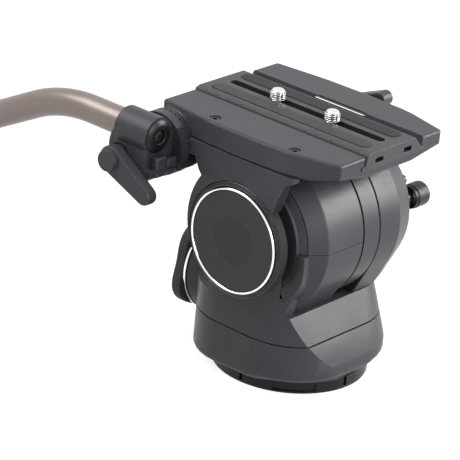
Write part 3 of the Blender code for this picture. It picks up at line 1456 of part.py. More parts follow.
def main():
    clear_scene()
    build_base_ring()
    build_base_fittings()
    build_skirt()
    build_upper_housing()
    build_near_barrel()
    build_far_barrel()
    build_tilt_core()
    platform = build_platform()
    build_lock_bracket(platform)
    build_wing_screws()
    build_near_arm()
    build_rosette()
    build_near_dial()
    build_rear_dial()
    build_lock_knob("tilt_lock", tilt_lock_place(), FAR_CAP_FACE - OVERRUN)
    build_lock_knob("pan_lock", (PAN_LOCK_Y, PAN_LOCK_Z), pan_lock_seat())
    build_slide_plate()
    build_camera_screws()
    build_clamp_bar()
    build_plate_lock()
    build_handle_clamp()
    build_holder_plug()
    build_wing_lever()
    build_pan_handle()
    smooth_pieces()


main()
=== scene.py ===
import json
import math

import bmesh
import bpy
from mathutils import Matrix, Vector
from mathutils.bvhtree import BVHTree


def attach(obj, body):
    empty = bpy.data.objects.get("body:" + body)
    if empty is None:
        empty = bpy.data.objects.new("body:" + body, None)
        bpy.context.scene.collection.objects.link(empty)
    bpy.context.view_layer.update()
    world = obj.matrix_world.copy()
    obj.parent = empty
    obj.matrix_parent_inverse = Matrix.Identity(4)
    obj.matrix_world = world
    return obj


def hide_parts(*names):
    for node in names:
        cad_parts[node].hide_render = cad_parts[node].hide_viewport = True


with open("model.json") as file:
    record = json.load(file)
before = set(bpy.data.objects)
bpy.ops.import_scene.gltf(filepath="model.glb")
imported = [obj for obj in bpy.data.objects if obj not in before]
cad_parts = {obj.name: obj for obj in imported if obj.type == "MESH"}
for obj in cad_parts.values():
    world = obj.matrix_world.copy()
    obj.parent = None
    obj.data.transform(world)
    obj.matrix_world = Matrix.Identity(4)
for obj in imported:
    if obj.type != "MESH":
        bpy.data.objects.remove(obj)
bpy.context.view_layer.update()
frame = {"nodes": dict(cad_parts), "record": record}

# Shared values, in metres and degrees
MERGE = 0.00002
FLAT_ANGLE = 0.6
SHARP_ANGLE = 38
SOFT_EDGE_ANGLE = 28
CRISP_ANGLES = {"far_barrel": 14, "platform": 14, "handle_clamp": 24, "wing_lever": 30}
ROUND_SHARP_ANGLE = 60
MOST_EASE_SHARE = 0.45
GAP = 0.0003
FINE = 144
ROUND = 96
SMALL = 64

# Base and housing
FOOT_RADIUS = 0.0500
SEAM_Z = 0.0366
LEDGE_Z = 0.0550
SPLIT_Z = 0.1011

# Tilt unit: it turns about X at this height, and its near end has the lower X
TILT_Z = 0.1004
BORE = 0.0080
BARREL_RADIUS = 0.0513
DRUM_START = -0.0026
DRUM_END = 0.0121
DRUM_SEAM = 0.0010
CHAMFER_START = -0.0368
CHAMFER_RADIUS = 0.0435
BARREL_END = -0.0470
CAP_RADIUS = 0.0430
CAP_FACE_RADIUS = 0.0380
CAP_BEVEL_END = -0.0498
CAP_END = -0.0512
FAR_CAP_START = 0.0498
FAR_CAP_END = 0.0530
FAR_CAP_RADIUS = 0.0440
FAR_CAP_FACE_RADIUS = 0.0415

# Dials
DIAL_BACK = -0.0586
DIAL_RADIUS = 0.0372
DIAL_RING_RADIUS = 0.0337
DIAL_RING_INNER = 0.0322
DIAL_FLOOR = -0.0640
DIAL_FACE_FRONT = -0.0668
DIAL_RING_FRONT = -0.0675
DISC_RADIUS = 0.0160
REAR_DIAL_Z = 0.0440
REAR_GRIP_RADIUS = 0.0336
REAR_GRIP_SWELL = 0.0021
REAR_GRIP_LOBES = 5

# Plate and handle
PLATE_TOP = 0.1676
SLOT_X = 0.0015
SCREW_RADIUS = 0.0048
SCREW_HEAD_RADIUS = 0.0058
SCREW_NECK_RADIUS = 0.0029
THREAD_DEPTH = 0.0009
THREAD_PITCH = 0.00135
THREAD_LENGTH = 0.0066
HOLDER_X = -0.0825
HOLDER_Z = 0.1555
TUBE_RADIUS = 0.0089
TUBE_START = 0.0603
BEND_START = 0.1070
BEND_RADIUS = 0.1070
BEND_ANGLE = 28
TUBE_FALL_LENGTH = 0.1900


# Shader groups
def new_group(name, inputs, outputs):
    group = bpy.data.node_groups.new(name, "ShaderNodeTree")
    for label, kind, value in inputs:
        socket = group.interface.new_socket(label, in_out="INPUT", socket_type=kind)
        socket.default_value = value
    for label, kind in outputs:
        group.interface.new_socket(label, in_out="OUTPUT", socket_type=kind)
    source = group.nodes.new("NodeGroupInput")
    target = group.nodes.new("NodeGroupOutput")
    return group, source, target


def add_node(tree, kind, settings=None, **values):
    node = tree.nodes.new(kind)
    for key, value in (settings or {}).items():
        setattr(node, key, value)
    for label, value in values.items():
        node.inputs[label.replace("_", " ")].default_value = value
    return node


def link(tree, out_socket, in_socket):
    tree.links.new(out_socket, in_socket)


def drift_group():
    """Slow change between two colours, with a finer mottle on top."""
    group, source, target = new_group(
        "Colour drift",
        [
            ("First", "NodeSocketColor", (0.05, 0.05, 0.05, 1)),
            ("Second", "NodeSocketColor", (0.07, 0.07, 0.07, 1)),
            ("Scale", "NodeSocketFloat", 18.0),
        ],
        [("Color", "NodeSocketColor"), ("Mask", "NodeSocketFloat")],
    )
    place = add_node(group, "ShaderNodeTexCoord")
    cloud = add_node(group, "ShaderNodeTexNoise", Detail=6.0, Roughness=0.62)
    fine = add_node(group, "ShaderNodeTexNoise", Detail=3.0, Roughness=0.5)
    finer = add_node(group, "ShaderNodeMath", {"operation": "MULTIPLY"})
    finer.inputs[1].default_value = 22.0
    blend = add_node(group, "ShaderNodeMath", {"operation": "MULTIPLY_ADD"})
    blend.inputs[1].default_value = 0.35
    spread = add_node(group, "ShaderNodeMapRange")
    spread.inputs["From Min"].default_value = 0.50
    spread.inputs["From Max"].default_value = 0.86
    mix = add_node(group, "ShaderNodeMix", {"data_type": "RGBA"})
    link(group, place.outputs["Object"], cloud.inputs["Vector"])
    link(group, place.outputs["Object"], fine.inputs["Vector"])
    link(group, source.outputs["Scale"], cloud.inputs["Scale"])
    link(group, source.outputs["Scale"], finer.inputs[0])
    link(group, finer.outputs[0], fine.inputs["Scale"])
    link(group, fine.outputs["Fac"], blend.inputs[0])
    link(group, cloud.outputs["Fac"], blend.inputs[2])
    link(group, blend.outputs[0], spread.inputs["Value"])
    link(group, spread.outputs["Result"], mix.inputs["Factor"])
    link(group, source.outputs["First"], mix.inputs["A"])
    link(group, source.outputs["Second"], mix.inputs["B"])
    link(group, mix.outputs["Result"], target.inputs["Color"])
    link(group, spread.outputs["Result"], target.inputs["Mask"])
    return group


def grain_group():
    """The fine orange-peel and speckle of sprayed or blasted metal, as a height."""
    group, source, target = new_group(
        "Fine grain",
        [("Scale", "NodeSocketFloat", 1400.0), ("Peel", "NodeSocketFloat", 0.4)],
        [("Height", "NodeSocketFloat")],
    )
    place = add_node(group, "ShaderNodeTexCoord")
    speck = add_node(group, "ShaderNodeTexVoronoi", {"feature": "SMOOTH_F1"})
    peel = add_node(group, "ShaderNodeTexNoise", Detail=2.0, Roughness=0.5)
    wider = add_node(group, "ShaderNodeMath", {"operation": "MULTIPLY"})
    wider.inputs[1].default_value = 0.3
    blend = add_node(group, "ShaderNodeMath", {"operation": "MULTIPLY_ADD"})
    link(group, place.outputs["Object"], speck.inputs["Vector"])
    link(group, place.outputs["Object"], peel.inputs["Vector"])
    link(group, source.outputs["Scale"], speck.inputs["Scale"])
    link(group, source.outputs["Scale"], wider.inputs[0])
    link(group, wider.outputs[0], peel.inputs["Scale"])
    link(group, peel.outputs["Fac"], blend.inputs[0])
    link(group, source.outputs["Peel"], blend.inputs[1])
    link(group, speck.outputs["Distance"], blend.inputs[2])
    link(group, blend.outputs[0], target.inputs["Height"])
    return group


def wear_group():
    """A mask of the convex and concave edges, broken up by noise."""
    group, source, target = new_group(
        "Edge wear",
        [("Width", "NodeSocketFloat", 0.0008), ("Scale", "NodeSocketFloat", 160.0)],
        [("Mask", "NodeSocketFloat")],
    )
    place = add_node(group, "ShaderNodeTexCoord")
    facing = add_node(group, "ShaderNodeNewGeometry")
    rounded = add_node(group, "ShaderNodeBevel", {"samples": 4})
    turn = add_node(group, "ShaderNodeVectorMath", {"operation": "DOT_PRODUCT"})
    edge = add_node(group, "ShaderNodeMapRange")
    edge.inputs["From Min"].default_value = 0.995
    edge.inputs["From Max"].default_value = 0.90
    scuff = add_node(group, "ShaderNodeTexNoise", Detail=5.0, Roughness=0.7)
    patchy = add_node(group, "ShaderNodeMapRange")
    patchy.inputs["From Min"].default_value = 0.40
    patchy.inputs["From Max"].default_value = 0.66
    both = add_node(group, "ShaderNodeMath", {"operation": "MULTIPLY"})
    link(group, source.outputs["Width"], rounded.inputs["Radius"])
    link(group, source.outputs["Scale"], scuff.inputs["Scale"])
    link(group, place.outputs["Object"], scuff.inputs["Vector"])
    link(group, rounded.outputs["Normal"], turn.inputs[0])
    link(group, facing.outputs["Normal"], turn.inputs[1])
    link(group, turn.outputs["Value"], edge.inputs["Value"])
    link(group, scuff.outputs["Fac"], patchy.inputs["Value"])
    link(group, edge.outputs["Result"], both.inputs[0])
    link(group, patchy.outputs["Result"], both.inputs[1])
    link(group, both.outputs[0], target.inputs["Mask"])
    return group


def lathe_group():
    """Fine turning marks: rings that follow the distance from an axis, as a height."""
    group, source, target = new_group(
        "Turning marks",
        [
            ("Centre", "NodeSocketVector", (0, 0, 0)),
            ("Across", "NodeSocketVector", (1, 1, 0)),
            ("Pitch", "NodeSocketFloat", 3500.0),
        ],
        [("Height", "NodeSocketFloat")],
    )
    place = add_node(group, "ShaderNodeTexCoord")
    shift = add_node(group, "ShaderNodeVectorMath", {"operation": "SUBTRACT"})
    flat = add_node(group, "ShaderNodeVectorMath", {"operation": "MULTIPLY"})
    reach = add_node(group, "ShaderNodeVectorMath", {"operation": "LENGTH"})
    rings = add_node(group, "ShaderNodeTexNoise", {"noise_dimensions": "1D"}, Detail=3.0)
    link(group, place.outputs["Object"], shift.inputs[0])
    link(group, source.outputs["Centre"], shift.inputs[1])
    link(group, shift.outputs["Vector"], flat.inputs[0])
    link(group, source.outputs["Across"], flat.inputs[1])
    link(group, flat.outputs["Vector"], reach.inputs[0])
    link(group, reach.outputs["Value"], rings.inputs["W"])
    link(group, source.outputs["Pitch"], rings.inputs["Scale"])
    link(group, rings.outputs["Fac"], target.inputs["Height"])
    return group


DRIFT = drift_group()
GRAIN = grain_group()
WEAR = wear_group()
LATHE = lathe_group()


def place_group(tree, group, **values):
    node = tree.nodes.new("ShaderNodeGroup")
    node.node_tree = group
    for label, value in values.items():
        node.inputs[label].default_value = value
    return node


# Finishes
def finish(
    name,
    first,
    second,
    worn,
    roughness,
    rough_spread=0.08,
    metallic=0.0,
    grain=1400.0,
    depth=0.00002,
    wear_width=0.0007,
    lathe=None,
    specular=0.5,
):
    """A procedural finish: drifting colour, uneven gloss, fine grain and rubbed edges."""
    material = bpy.data.materials.new(name)
    material.use_nodes = True
    tree = material.node_tree
    shader = tree.nodes["Principled BSDF"]
    shader.inputs["Metallic"].default_value = metallic
    shader.inputs["Specular IOR Level"].default_value = specular
    colour = place_group(tree, DRIFT, First=(*first, 1), Second=(*second, 1))
    edges = place_group(tree, WEAR, Width=wear_width)
    mix = add_node(tree, "ShaderNodeMix", {"data_type": "RGBA"})
    mix.inputs["B"].default_value = (*worn, 1)
    link(tree, edges.outputs["Mask"], mix.inputs["Factor"])
    link(tree, colour.outputs["Color"], mix.inputs["A"])
    link(tree, mix.outputs["Result"], shader.inputs["Base Color"])
    gloss = add_node(tree, "ShaderNodeMapRange")
    gloss.inputs["To Min"].default_value = roughness - rough_spread
    gloss.inputs["To Max"].default_value = roughness + rough_spread
    link(tree, colour.outputs["Mask"], gloss.inputs["Value"])
    link(tree, gloss.outputs["Result"], shader.inputs["Roughness"])
    if lathe:
        centre, across, pitch = lathe
        surface = place_group(tree, LATHE, Centre=centre, Across=across, Pitch=pitch)
    else:
        surface = place_group(tree, GRAIN, Scale=grain)
    bump = add_node(tree, "ShaderNodeBump", Strength=1.0, Distance=depth)
    link(tree, surface.outputs["Height"], bump.inputs["Height"])
    link(tree, bump.outputs["Normal"], shader.inputs["Normal"])
    return material


def make_finishes():
    """Each finish: two colours that it drifts between, a colour at rubbed edges, a roughness."""
    about_tilt = ((0, 0, TILT_Z), (0, 1, 1))
    about_rear = ((0, 0, REAR_DIAL_Z), (1, 0, 1))
    dial_pitch, ring_pitch = 5200.0, 4200.0
    bright_ring = {
        "first": (0.88, 0.88, 0.89),
        "second": (0.95, 0.95, 0.95),
        "worn": (0.97, 0.97, 0.97),
        "roughness": 0.14,
        "rough_spread": 0.04,
        "metallic": 1.0,
        "depth": 0.000006,
    }
    return {
        "body": finish(
            "satin_charcoal",
            (0.028, 0.0295, 0.033),
            (0.039, 0.0405, 0.045),
            (0.12, 0.12, 0.13),
            0.40,
            specular=0.28,
        ),
        "body_dark": finish(
            "satin_black",
            (0.015, 0.015, 0.017),
            (0.021, 0.021, 0.023),
            (0.09, 0.09, 0.10),
            0.42,
            specular=0.28,
        ),
        "dial": finish(
            "dial_black",
            (0.020, 0.020, 0.023),
            (0.025, 0.025, 0.028),
            (0.10, 0.10, 0.11),
            0.36,
            specular=0.30,
            lathe=(*about_tilt, dial_pitch),
            depth=0.000006,
        ),
        "base": finish(
            "black_anodised",
            (0.004, 0.004, 0.004),
            (0.007, 0.007, 0.007),
            (0.04, 0.04, 0.04),
            0.34,
            specular=0.22,
            grain=2200.0,
            wear_width=0.0004,
        ),
        "plate": finish(
            "blasted_plate",
            (0.037, 0.0385, 0.041),
            (0.048, 0.0495, 0.053),
            (0.16, 0.16, 0.17),
            0.46,
            specular=0.28,
            grain=2600.0,
            depth=0.00003,
        ),
        "rubber": finish(
            "pad_rubber",
            (0.015, 0.016, 0.018),
            (0.024, 0.025, 0.027),
            (0.045, 0.045, 0.045),
            0.62,
            grain=1800.0,
            depth=0.00004,
            specular=0.22,
        ),
        "pad": finish(
            "near_pad_rubber",
            (0.028, 0.029, 0.032),
            (0.038, 0.039, 0.042),
            (0.06, 0.06, 0.065),
            0.55,
            grain=1800.0,
            depth=0.00004,
            specular=0.22,
        ),
        # Painted highlight: the white of the strip along the clamp bar's top edge.
        "highlight_white": finish(
            "painted_edge_highlight",
            (0.86, 0.86, 0.86),
            (0.92, 0.92, 0.92),
            (0.70, 0.70, 0.70),
            0.45,
            grain=3000.0,
            wear_width=0.0002,
        ),
        # Painted shade: dark metal for the thread's grooves and for the screw deep in the plug's
        # socket.
        "groove": finish(
            "painted_hollow_shade",
            (0.10, 0.10, 0.105),
            (0.16, 0.16, 0.165),
            (0.30, 0.30, 0.30),
            0.35,
            metallic=1.0,
            grain=3000.0,
        ),
        "grip": finish(
            "grip_rubber",
            (0.016, 0.016, 0.017),
            (0.028, 0.028, 0.029),
            (0.045, 0.045, 0.045),
            0.66,
            grain=900.0,
            depth=0.00012,
            specular=0.4,
        ),
        "steel": finish(
            "turned_steel",
            (0.74, 0.75, 0.77),
            (0.84, 0.85, 0.86),
            (0.92, 0.92, 0.93),
            0.16,
            rough_spread=0.05,
            metallic=1.0,
            grain=3000.0,
            depth=0.000008,
        ),
        "stud": finish(
            "bright_plated_steel",
            (0.80, 0.81, 0.82),
            (0.90, 0.90, 0.91),
            (0.95, 0.95, 0.95),
            0.14,
            rough_spread=0.05,
            metallic=1.0,
            grain=3000.0,
            depth=0.000006,
        ),
        "seam": finish(
            "seam_black", (0.006, 0.006, 0.006), (0.009, 0.009, 0.009), (0.02, 0.02, 0.02), 0.6
        ),
        # Painted shade: a dull near-black laid on faces where shade falls, in seams, slots and
        # grooves and on shadowed sides.
        "rim": finish(
            "painted_shade_black",
            (0.016, 0.016, 0.018),
            (0.022, 0.022, 0.024),
            (0.05, 0.05, 0.055),
            0.70,
            specular=0.15,
        ),
        "mark": finish(
            "index_mark",
            (0.020, 0.020, 0.021),
            (0.028, 0.028, 0.029),
            (0.30, 0.30, 0.31),
            0.42,
            grain=3000.0,
            wear_width=0.0002,
        ),
        "dark_steel": finish(
            "blackened_steel",
            (0.030, 0.030, 0.031),
            (0.050, 0.050, 0.051),
            (0.30, 0.30, 0.30),
            0.34,
            metallic=0.8,
            wear_width=0.0003,
        ),
        "ring": finish("bright_ring", **bright_ring, lathe=(*about_tilt, ring_pitch)),
        "rear_ring": finish("bright_rear_ring", **bright_ring, lathe=(*about_rear, ring_pitch)),
        "tube": finish(
            "warm_grey_tube",
            (0.200, 0.160, 0.145),
            (0.225, 0.182, 0.166),
            (0.23, 0.19, 0.17),
            0.34,
            rough_spread=0.03,
            metallic=0.5,
            grain=3200.0,
            depth=0.000002,
        ),
    }


FINISH = make_finishes()


# Mesh helpers
def turn_to(axis, shape):
    """Turns a shape modelled along Z so that its Z runs along the named axis."""
    turns = {
        "X": Matrix(((0, 0, 1), (1, 0, 0), (0, 1, 0))),
        "Y": Matrix(((1, 0, 0), (0, 0, 1), (0, -1, 0))),
        "Z": Matrix.Identity(3),
    }
    bmesh.ops.transform(shape, matrix=turns[axis].to_4x4(), verts=shape.verts)


def corner_edges(shape, angle):
    limit = math.radians(angle)
    return [e for e in shape.edges if len(e.link_faces) == 2 and e.calc_face_angle(0) > limit]


def soften(shape, width, segments, angle=SOFT_EDGE_ANGLE):
    edges = corner_edges(shape, angle)
    bmesh.ops.bevel(
        shape,
        geom=edges,
        offset=width,
        segments=segments,
        profile=0.5,
        affect="EDGES",
        material=-1,
        clamp_overlap=True,
    )


def settle(shape, name, finish_name, body, stands_for=(), sharp=SHARP_ANGLE):
    """Closes the shape into an object that rides on its body and stands for its solids."""
    bmesh.ops.remove_doubles(shape, verts=shape.verts, dist=MERGE)
    bmesh.ops.recalc_face_normals(shape, faces=shape.faces)
    mesh = bpy.data.meshes.new(name)
    shape.to_mesh(mesh)
    shape.free()
    mesh.shade_smooth()
    mesh.set_sharp_from_angle(angle=math.radians(sharp))
    mesh.materials.append(FINISH[finish_name])
    piece = bpy.data.objects.new(name, mesh)
    bpy.context.scene.collection.objects.link(piece)
    even = piece.modifiers.new("even_shading", "WEIGHTED_NORMAL")
    even.keep_sharp = True
    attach(piece, body)
    if stands_for:
        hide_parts(*stands_for)
    return piece


def turned_shape(profile, axis, pivot, steps=FINE):
    """A turned shape: the profile is (radius, place along the axis)."""
    shape = bmesh.new()
    points = [shape.verts.new((radius, 0, place)) for radius, place in profile]
    edges = [shape.edges.new(pair) for pair in zip(points, points[1:])]
    bmesh.ops.spin(
        shape,
        geom=points + edges,
        cent=(0, 0, 0),
        axis=(0, 0, 1),
        angle=math.tau,
        steps=steps,
        use_merge=True,
    )
    bmesh.ops.remove_doubles(shape, verts=shape.verts, dist=MERGE)
    bmesh.ops.recalc_face_normals(shape, faces=shape.faces)
    turn_to(axis, shape)
    bmesh.ops.translate(shape, verts=shape.verts, vec=pivot)
    return shape


def eased(profile, radius, steps=4):
    """The profile with each inner corner rounded, by as much as its neighbours allow."""
    result = [profile[0]]
    for before, here, after in zip(profile, profile[1:], profile[2:]):
        a = Vector(before) - Vector(here)
        b = Vector(after) - Vector(here)
        run = min(radius, a.length * MOST_EASE_SHARE, b.length * MOST_EASE_SHARE)
        start = Vector(here) + a.normalized() * run
        end = Vector(here) + b.normalized() * run
        for step in range(steps + 1):
            t = step / steps
            point = start * (1 - t) ** 2 + Vector(here) * 2 * t * (1 - t) + end * t**2
            result.append(tuple(point))
    result.append(profile[-1])
    return result


def prism_shape(outline, low, high, axis="Z"):
    shape = bmesh.new()
    floor = shape.faces.new([shape.verts.new((a, b, low)) for a, b in outline])
    raised = bmesh.ops.extrude_face_region(shape, geom=[floor])["geom"]
    corners = [item for item in raised if isinstance(item, bmesh.types.BMVert)]
    bmesh.ops.translate(shape, verts=corners, vec=(0, 0, high - low))
    bmesh.ops.recalc_face_normals(shape, faces=shape.faces)
    turn_to(axis, shape)
    return shape


def solid_copy(node):
    """The node's solid with its loose triangles merged into plain faces."""
    shape = bmesh.new()
    shape.from_mesh(frame["nodes"][node].data)
    bmesh.ops.remove_doubles(shape, verts=shape.verts, dist=MERGE)
    bmesh.ops.dissolve_limit(
        shape, angle_limit=math.radians(FLAT_ANGLE), verts=shape.verts, edges=shape.edges
    )
    return shape


def body_of(node):
    for body, members in frame["record"]["behaviour"]["bodies"].items():
        if node in members:
            return body


def dressed(node, finish_name, width, sharp=SHARP_ANGLE):
    """The node's own form with softened edges and smooth curves."""
    shape = solid_copy(node)
    soften(shape, width, 2)
    return settle(shape, node + "_shell", finish_name, body_of(node), [node], sharp)


def cut_flat(shape, place, normal):
    """Cuts away the side that the normal points to, and returns the cut's edges, still open."""
    geometry = [*shape.verts, *shape.edges, *shape.faces]
    made = bmesh.ops.bisect_plane(
        shape, geom=geometry, plane_co=place, plane_no=normal, clear_outer=True, dist=MERGE / 10
    )["geom_cut"]
    return [item for item in made if isinstance(item, bmesh.types.BMEdge)]


def close_rim(shape):
    rim = [edge for edge in shape.edges if len(edge.link_faces) == 1]
    bmesh.ops.holes_fill(shape, edges=rim)


def loft_shape(sections):
    """A closed shape through sections of as many points each."""
    shape = bmesh.new()
    rings = [[shape.verts.new(point) for point in section] for section in sections]
    for lower, upper in zip(rings, rings[1:]):
        for step in range(len(lower)):
            after = (step + 1) % len(lower)
            shape.faces.new((lower[step], lower[after], upper[after], upper[step]))
    shape.faces.new(rings[0])
    shape.faces.new(rings[-1])
    bmesh.ops.recalc_face_normals(shape, faces=shape.faces)
    return shape


def paint_shade(piece, chosen, finish_name="rim"):
    """Gives the chosen faces a second, darker finish: painted shade on faces where shade falls."""
    piece.data.materials.append(FINISH[finish_name])
    for face in piece.data.polygons:
        if chosen(face):
            face.material_index = 1


# Pieces
def faces_sideways(face):
    return abs(face.normal.x) > 0.3


def beside_the_drum(face):
    """The faces that line the two seams beside the middle drum, which get painted shade."""
    reach = 0.0023
    beside = DRUM_START - reach < face.center.x < DRUM_END + reach
    return beside and faces_sideways(face)


def make_barrel():
    """The near barrel and its cap, each in two halves, then the middle drum and the far cap."""
    centre = (0, 0, TILT_Z)
    barrel_start = DRUM_START - DRUM_SEAM
    barrel = [
        (BORE, barrel_start),
        (BARREL_RADIUS, barrel_start),
        (BARREL_RADIUS, CHAMFER_START),
        (CHAMFER_RADIUS, BARREL_END),
        (BORE, BARREL_END),
    ]
    cap_start = BARREL_END - GAP
    cap = [
        (BORE, cap_start),
        (CAP_RADIUS, cap_start),
        (CAP_FACE_RADIUS, CAP_BEVEL_END),
        (CAP_FACE_RADIUS, CAP_END),
        (BORE, CAP_END),
    ]
    up, down = (0, 0, 1), (0, 0, -1)
    for name, profile, easing in (("barrel", barrel, 0.0007), ("near_cap", cap, 0.0008)):
        upper = turned_shape(eased(profile, easing), "X", centre)
        cut_flat(upper, (0, 0, SPLIT_Z), down)
        close_rim(upper)
        lower = turned_shape(eased(profile, easing), "X", centre)
        cut_flat(lower, (0, 0, SPLIT_Z - GAP), up)
        ledge_rim = cut_flat(lower, (0, 0, LEDGE_Z + GAP), down)
        bmesh.ops.holes_fill(lower, edges=ledge_rim)
        for half, shape in (("upper", upper), ("lower", lower)):
            node = f"{name}_{half}"
            piece = settle(shape, node + "_shell", "body", "pan_housing", [node])
            # Painted shade on the barrel halves' faces in the seams beside the drum.
            paint_shade(piece, beside_the_drum)
    drum = [
        (BORE, DRUM_START),
        (BARREL_RADIUS, DRUM_START),
        (BARREL_RADIUS, DRUM_END),
        (BORE, DRUM_END),
    ]
    shape = turned_shape(eased(drum, 0.0004), "X", centre)
    piece = settle(shape, "middle_drum_shell", "body", "tilt_cradle", ["middle_drum"])
    # Painted shade on the drum's sides in its two seams.
    paint_shade(piece, faces_sideways)
    far_cap = [
        (0, FAR_CAP_END),
        (FAR_CAP_FACE_RADIUS, FAR_CAP_END),
        (FAR_CAP_RADIUS, FAR_CAP_START),
        (0, FAR_CAP_START),
    ]
    shape = turned_shape(eased(far_cap, 0.0010), "X", centre)
    settle(shape, "far_cap_shell", "body", "pan_housing", ["far_cap"])


def make_cradle():
    """The cradle under the lower barrel half: it leaves the round at a crisp edge and leans in to
    the ledge. Each section has its place along X, its crisp edge's Y and Z, and its foot's Y."""
    foot_z = LEDGE_Z + 0.0001
    inner_top_y, inner_foot_y = -0.0330, -0.0180
    sections = []
    for across, edge_y, edge_z, foot_y in (
        (-0.0415, -0.0390, 0.0722, -0.0290),
        (CHAMFER_START, -0.0418, 0.0703, -0.0312),
        (-0.0055, -0.0418, 0.0703, -0.0312),
    ):
        sections.append(
            [
                (across, edge_y, edge_z),
                (across, foot_y, foot_z),
                (across, inner_foot_y, foot_z),
                (across, inner_top_y, edge_z),
            ]
        )
    shape = loft_shape(sections)
    soften(shape, 0.0004, 2)
    settle(shape, "barrel_cradle", "body", "pan_housing")


def make_cheek():
    """The housing's cheek round the lower cap, along the barrel's chamfer down to the cradle."""
    steps, first_drop, drop_step = 9, 0.6, 5.0
    face_x, face_radius = -0.0513, 0.0385
    crease_radius, crease_growth, crease_ease = 0.0438, 0.0032, 0.0007
    inward, sunk = 0.0064, 0.0020
    slope = (BARREL_RADIUS - CHAMFER_RADIUS) / (CHAMFER_START - BARREL_END)
    sections = []
    for step in range(steps + 1):
        drop = math.radians(first_drop + drop_step * step)
        share = step / steps
        inner = BARREL_END + inward * share
        cone = BARREL_RADIUS - slope * (CHAMFER_START - inner)
        crease = crease_radius + crease_growth * min(1.0, share * 2)
        section = []
        for across, reach in (
            (face_x, face_radius),
            (face_x, crease),
            (face_x + crease_ease, crease + 0.0005),
            (inner, cone + 0.0004),
            (inner + 0.0006, cone - sunk),
        ):
            section.append((across, -reach * math.cos(drop), TILT_Z - reach * math.sin(drop)))
        sections.append(section)
    shape = loft_shape(sections)
    settle(shape, "housing_cheek", "body", "pan_housing", sharp=ROUND_SHARP_ANGLE)


def make_foot_rim():
    """The unbroken rim under the notched base ring."""
    inner, height, ease = 0.0440, 0.0014, 0.0002
    rim = [
        (inner, 0.0),
        (FOOT_RADIUS - ease, 0.0),
        (FOOT_RADIUS, 2 * ease),
        (FOOT_RADIUS, height - ease),
        (FOOT_RADIUS - ease, height),
        (inner, height),
        (inner, 0.0),
    ]
    shape = turned_shape(rim, "Z", (0, 0, 0))
    settle(shape, "base_foot_rim", "base", "base")


def surface_strip(name, node, body, path, width, finish_name="seam"):
    """A hairline laid on a node's surface along a path, as a thin raised strip."""
    steps, height = 12, 0.00004
    solid = solid_copy(node)
    bmesh.ops.triangulate(solid, faces=solid.faces)
    tree = BVHTree.FromBMesh(solid)
    points = []
    for start, end in zip(path, path[1:]):
        for step in range(steps):
            points.append(Vector(start).lerp(Vector(end), step / steps))
    points.append(Vector(path[-1]))
    placed = []
    for point in points:
        place, normal, _, _ = tree.find_nearest(point)
        placed.append((place, normal))
    sections = []
    for index, (place, normal) in enumerate(placed):
        before = placed[max(0, index - 1)][0]
        after = placed[min(len(placed) - 1, index + 1)][0]
        side = (after - before).normalized().cross(normal).normalized() * width / 2
        lift = normal * height
        near, far = place + side, place - side
        sections.append([near - lift, near + lift, far + lift, far - lift])
    solid.free()
    settle(loft_shape(sections), name, finish_name, body)


def make_seams():
    """A painted highlight as a thin white strip along the clamp bar's top edge, and the seam down
    the housing's front corner.
    """
    bar_x, bar_z = 0.0276, 0.1657
    line = [(bar_x, -0.0172, bar_z), (bar_x, 0.0215, bar_z)]
    # Painted highlight along the clamp bar's top edge.
    surface_strip("bar_edge", "clamp_bar", "plate_clamp_bar", line, 0.0008, "highlight_white")
    seam = [(0.0214, -0.0353, 0.0540), (0.0234, -0.0387, 0.0470), (0.0235, -0.0427, SEAM_Z)]
    surface_strip("front_seam", "upper_housing", "pan_housing", seam, 0.0004)


def make_housing():
    """The upper housing, cut a little short at the foot so that its seam reads as a dark line."""
    shape = solid_copy("upper_housing")
    cut_flat(shape, (0, 0, SEAM_Z), (0, 0, -1))
    close_rim(shape)
    soften(shape, 0.0008, 3)
    settle(shape, "upper_housing_shell", "body", "pan_housing", ["upper_housing"])


def round_the_dial(face):
    """The near arm's side walls, but not those up at the platform."""
    reach = math.hypot(face.center.y, face.center.z - TILT_Z)
    low = face.center.z < TILT_Z + 0.040
    return abs(face.normal.x) < 0.85 and reach < 0.060 and low


def make_skirt():
    """The skirt, its foot drawn in at the front so that it meets the base ring."""
    foot_radius, foot_top, drawn_height = 0.0512, 0.0140, 0.0060
    blend_start, blend_depth = 0.005, 0.025
    shape = solid_copy("skirt")
    for height in (0.0095, 0.0110, 0.0125, foot_top):
        geometry = [*shape.verts, *shape.edges, *shape.faces]
        bmesh.ops.bisect_plane(
            shape, geom=geometry, plane_co=(0, 0, height), plane_no=(0, 0, 1), dist=MERGE / 10
        )
    for vert in shape.verts:
        reach = math.hypot(vert.co.x, vert.co.y)
        if vert.co.z > foot_top or reach < foot_radius:
            continue
        low = min(1.0, (foot_top - vert.co.z) / drawn_height)
        front = min(1.0, max(0.0, (-vert.co.y - blend_start) / blend_depth))
        drawn = reach - (reach - foot_radius) * low**1.5 * front
        vert.co.x *= drawn / reach
        vert.co.y *= drawn / reach
    soften(shape, 0.0005, 2, angle=40)
    settle(shape, "skirt_shell", "body", "pan_housing", ["skirt"])


def make_arm():
    """The near arm, with painted shade, a duller near-black, on its side walls round the dial."""
    shape = solid_copy("near_arm")
    soften(shape, 0.0003, 2)
    piece = settle(shape, "near_arm_shell", "body", "tilt_cradle", ["near_arm"])
    # Painted shade on the arm's side walls round the dial.
    paint_shade(piece, round_the_dial)


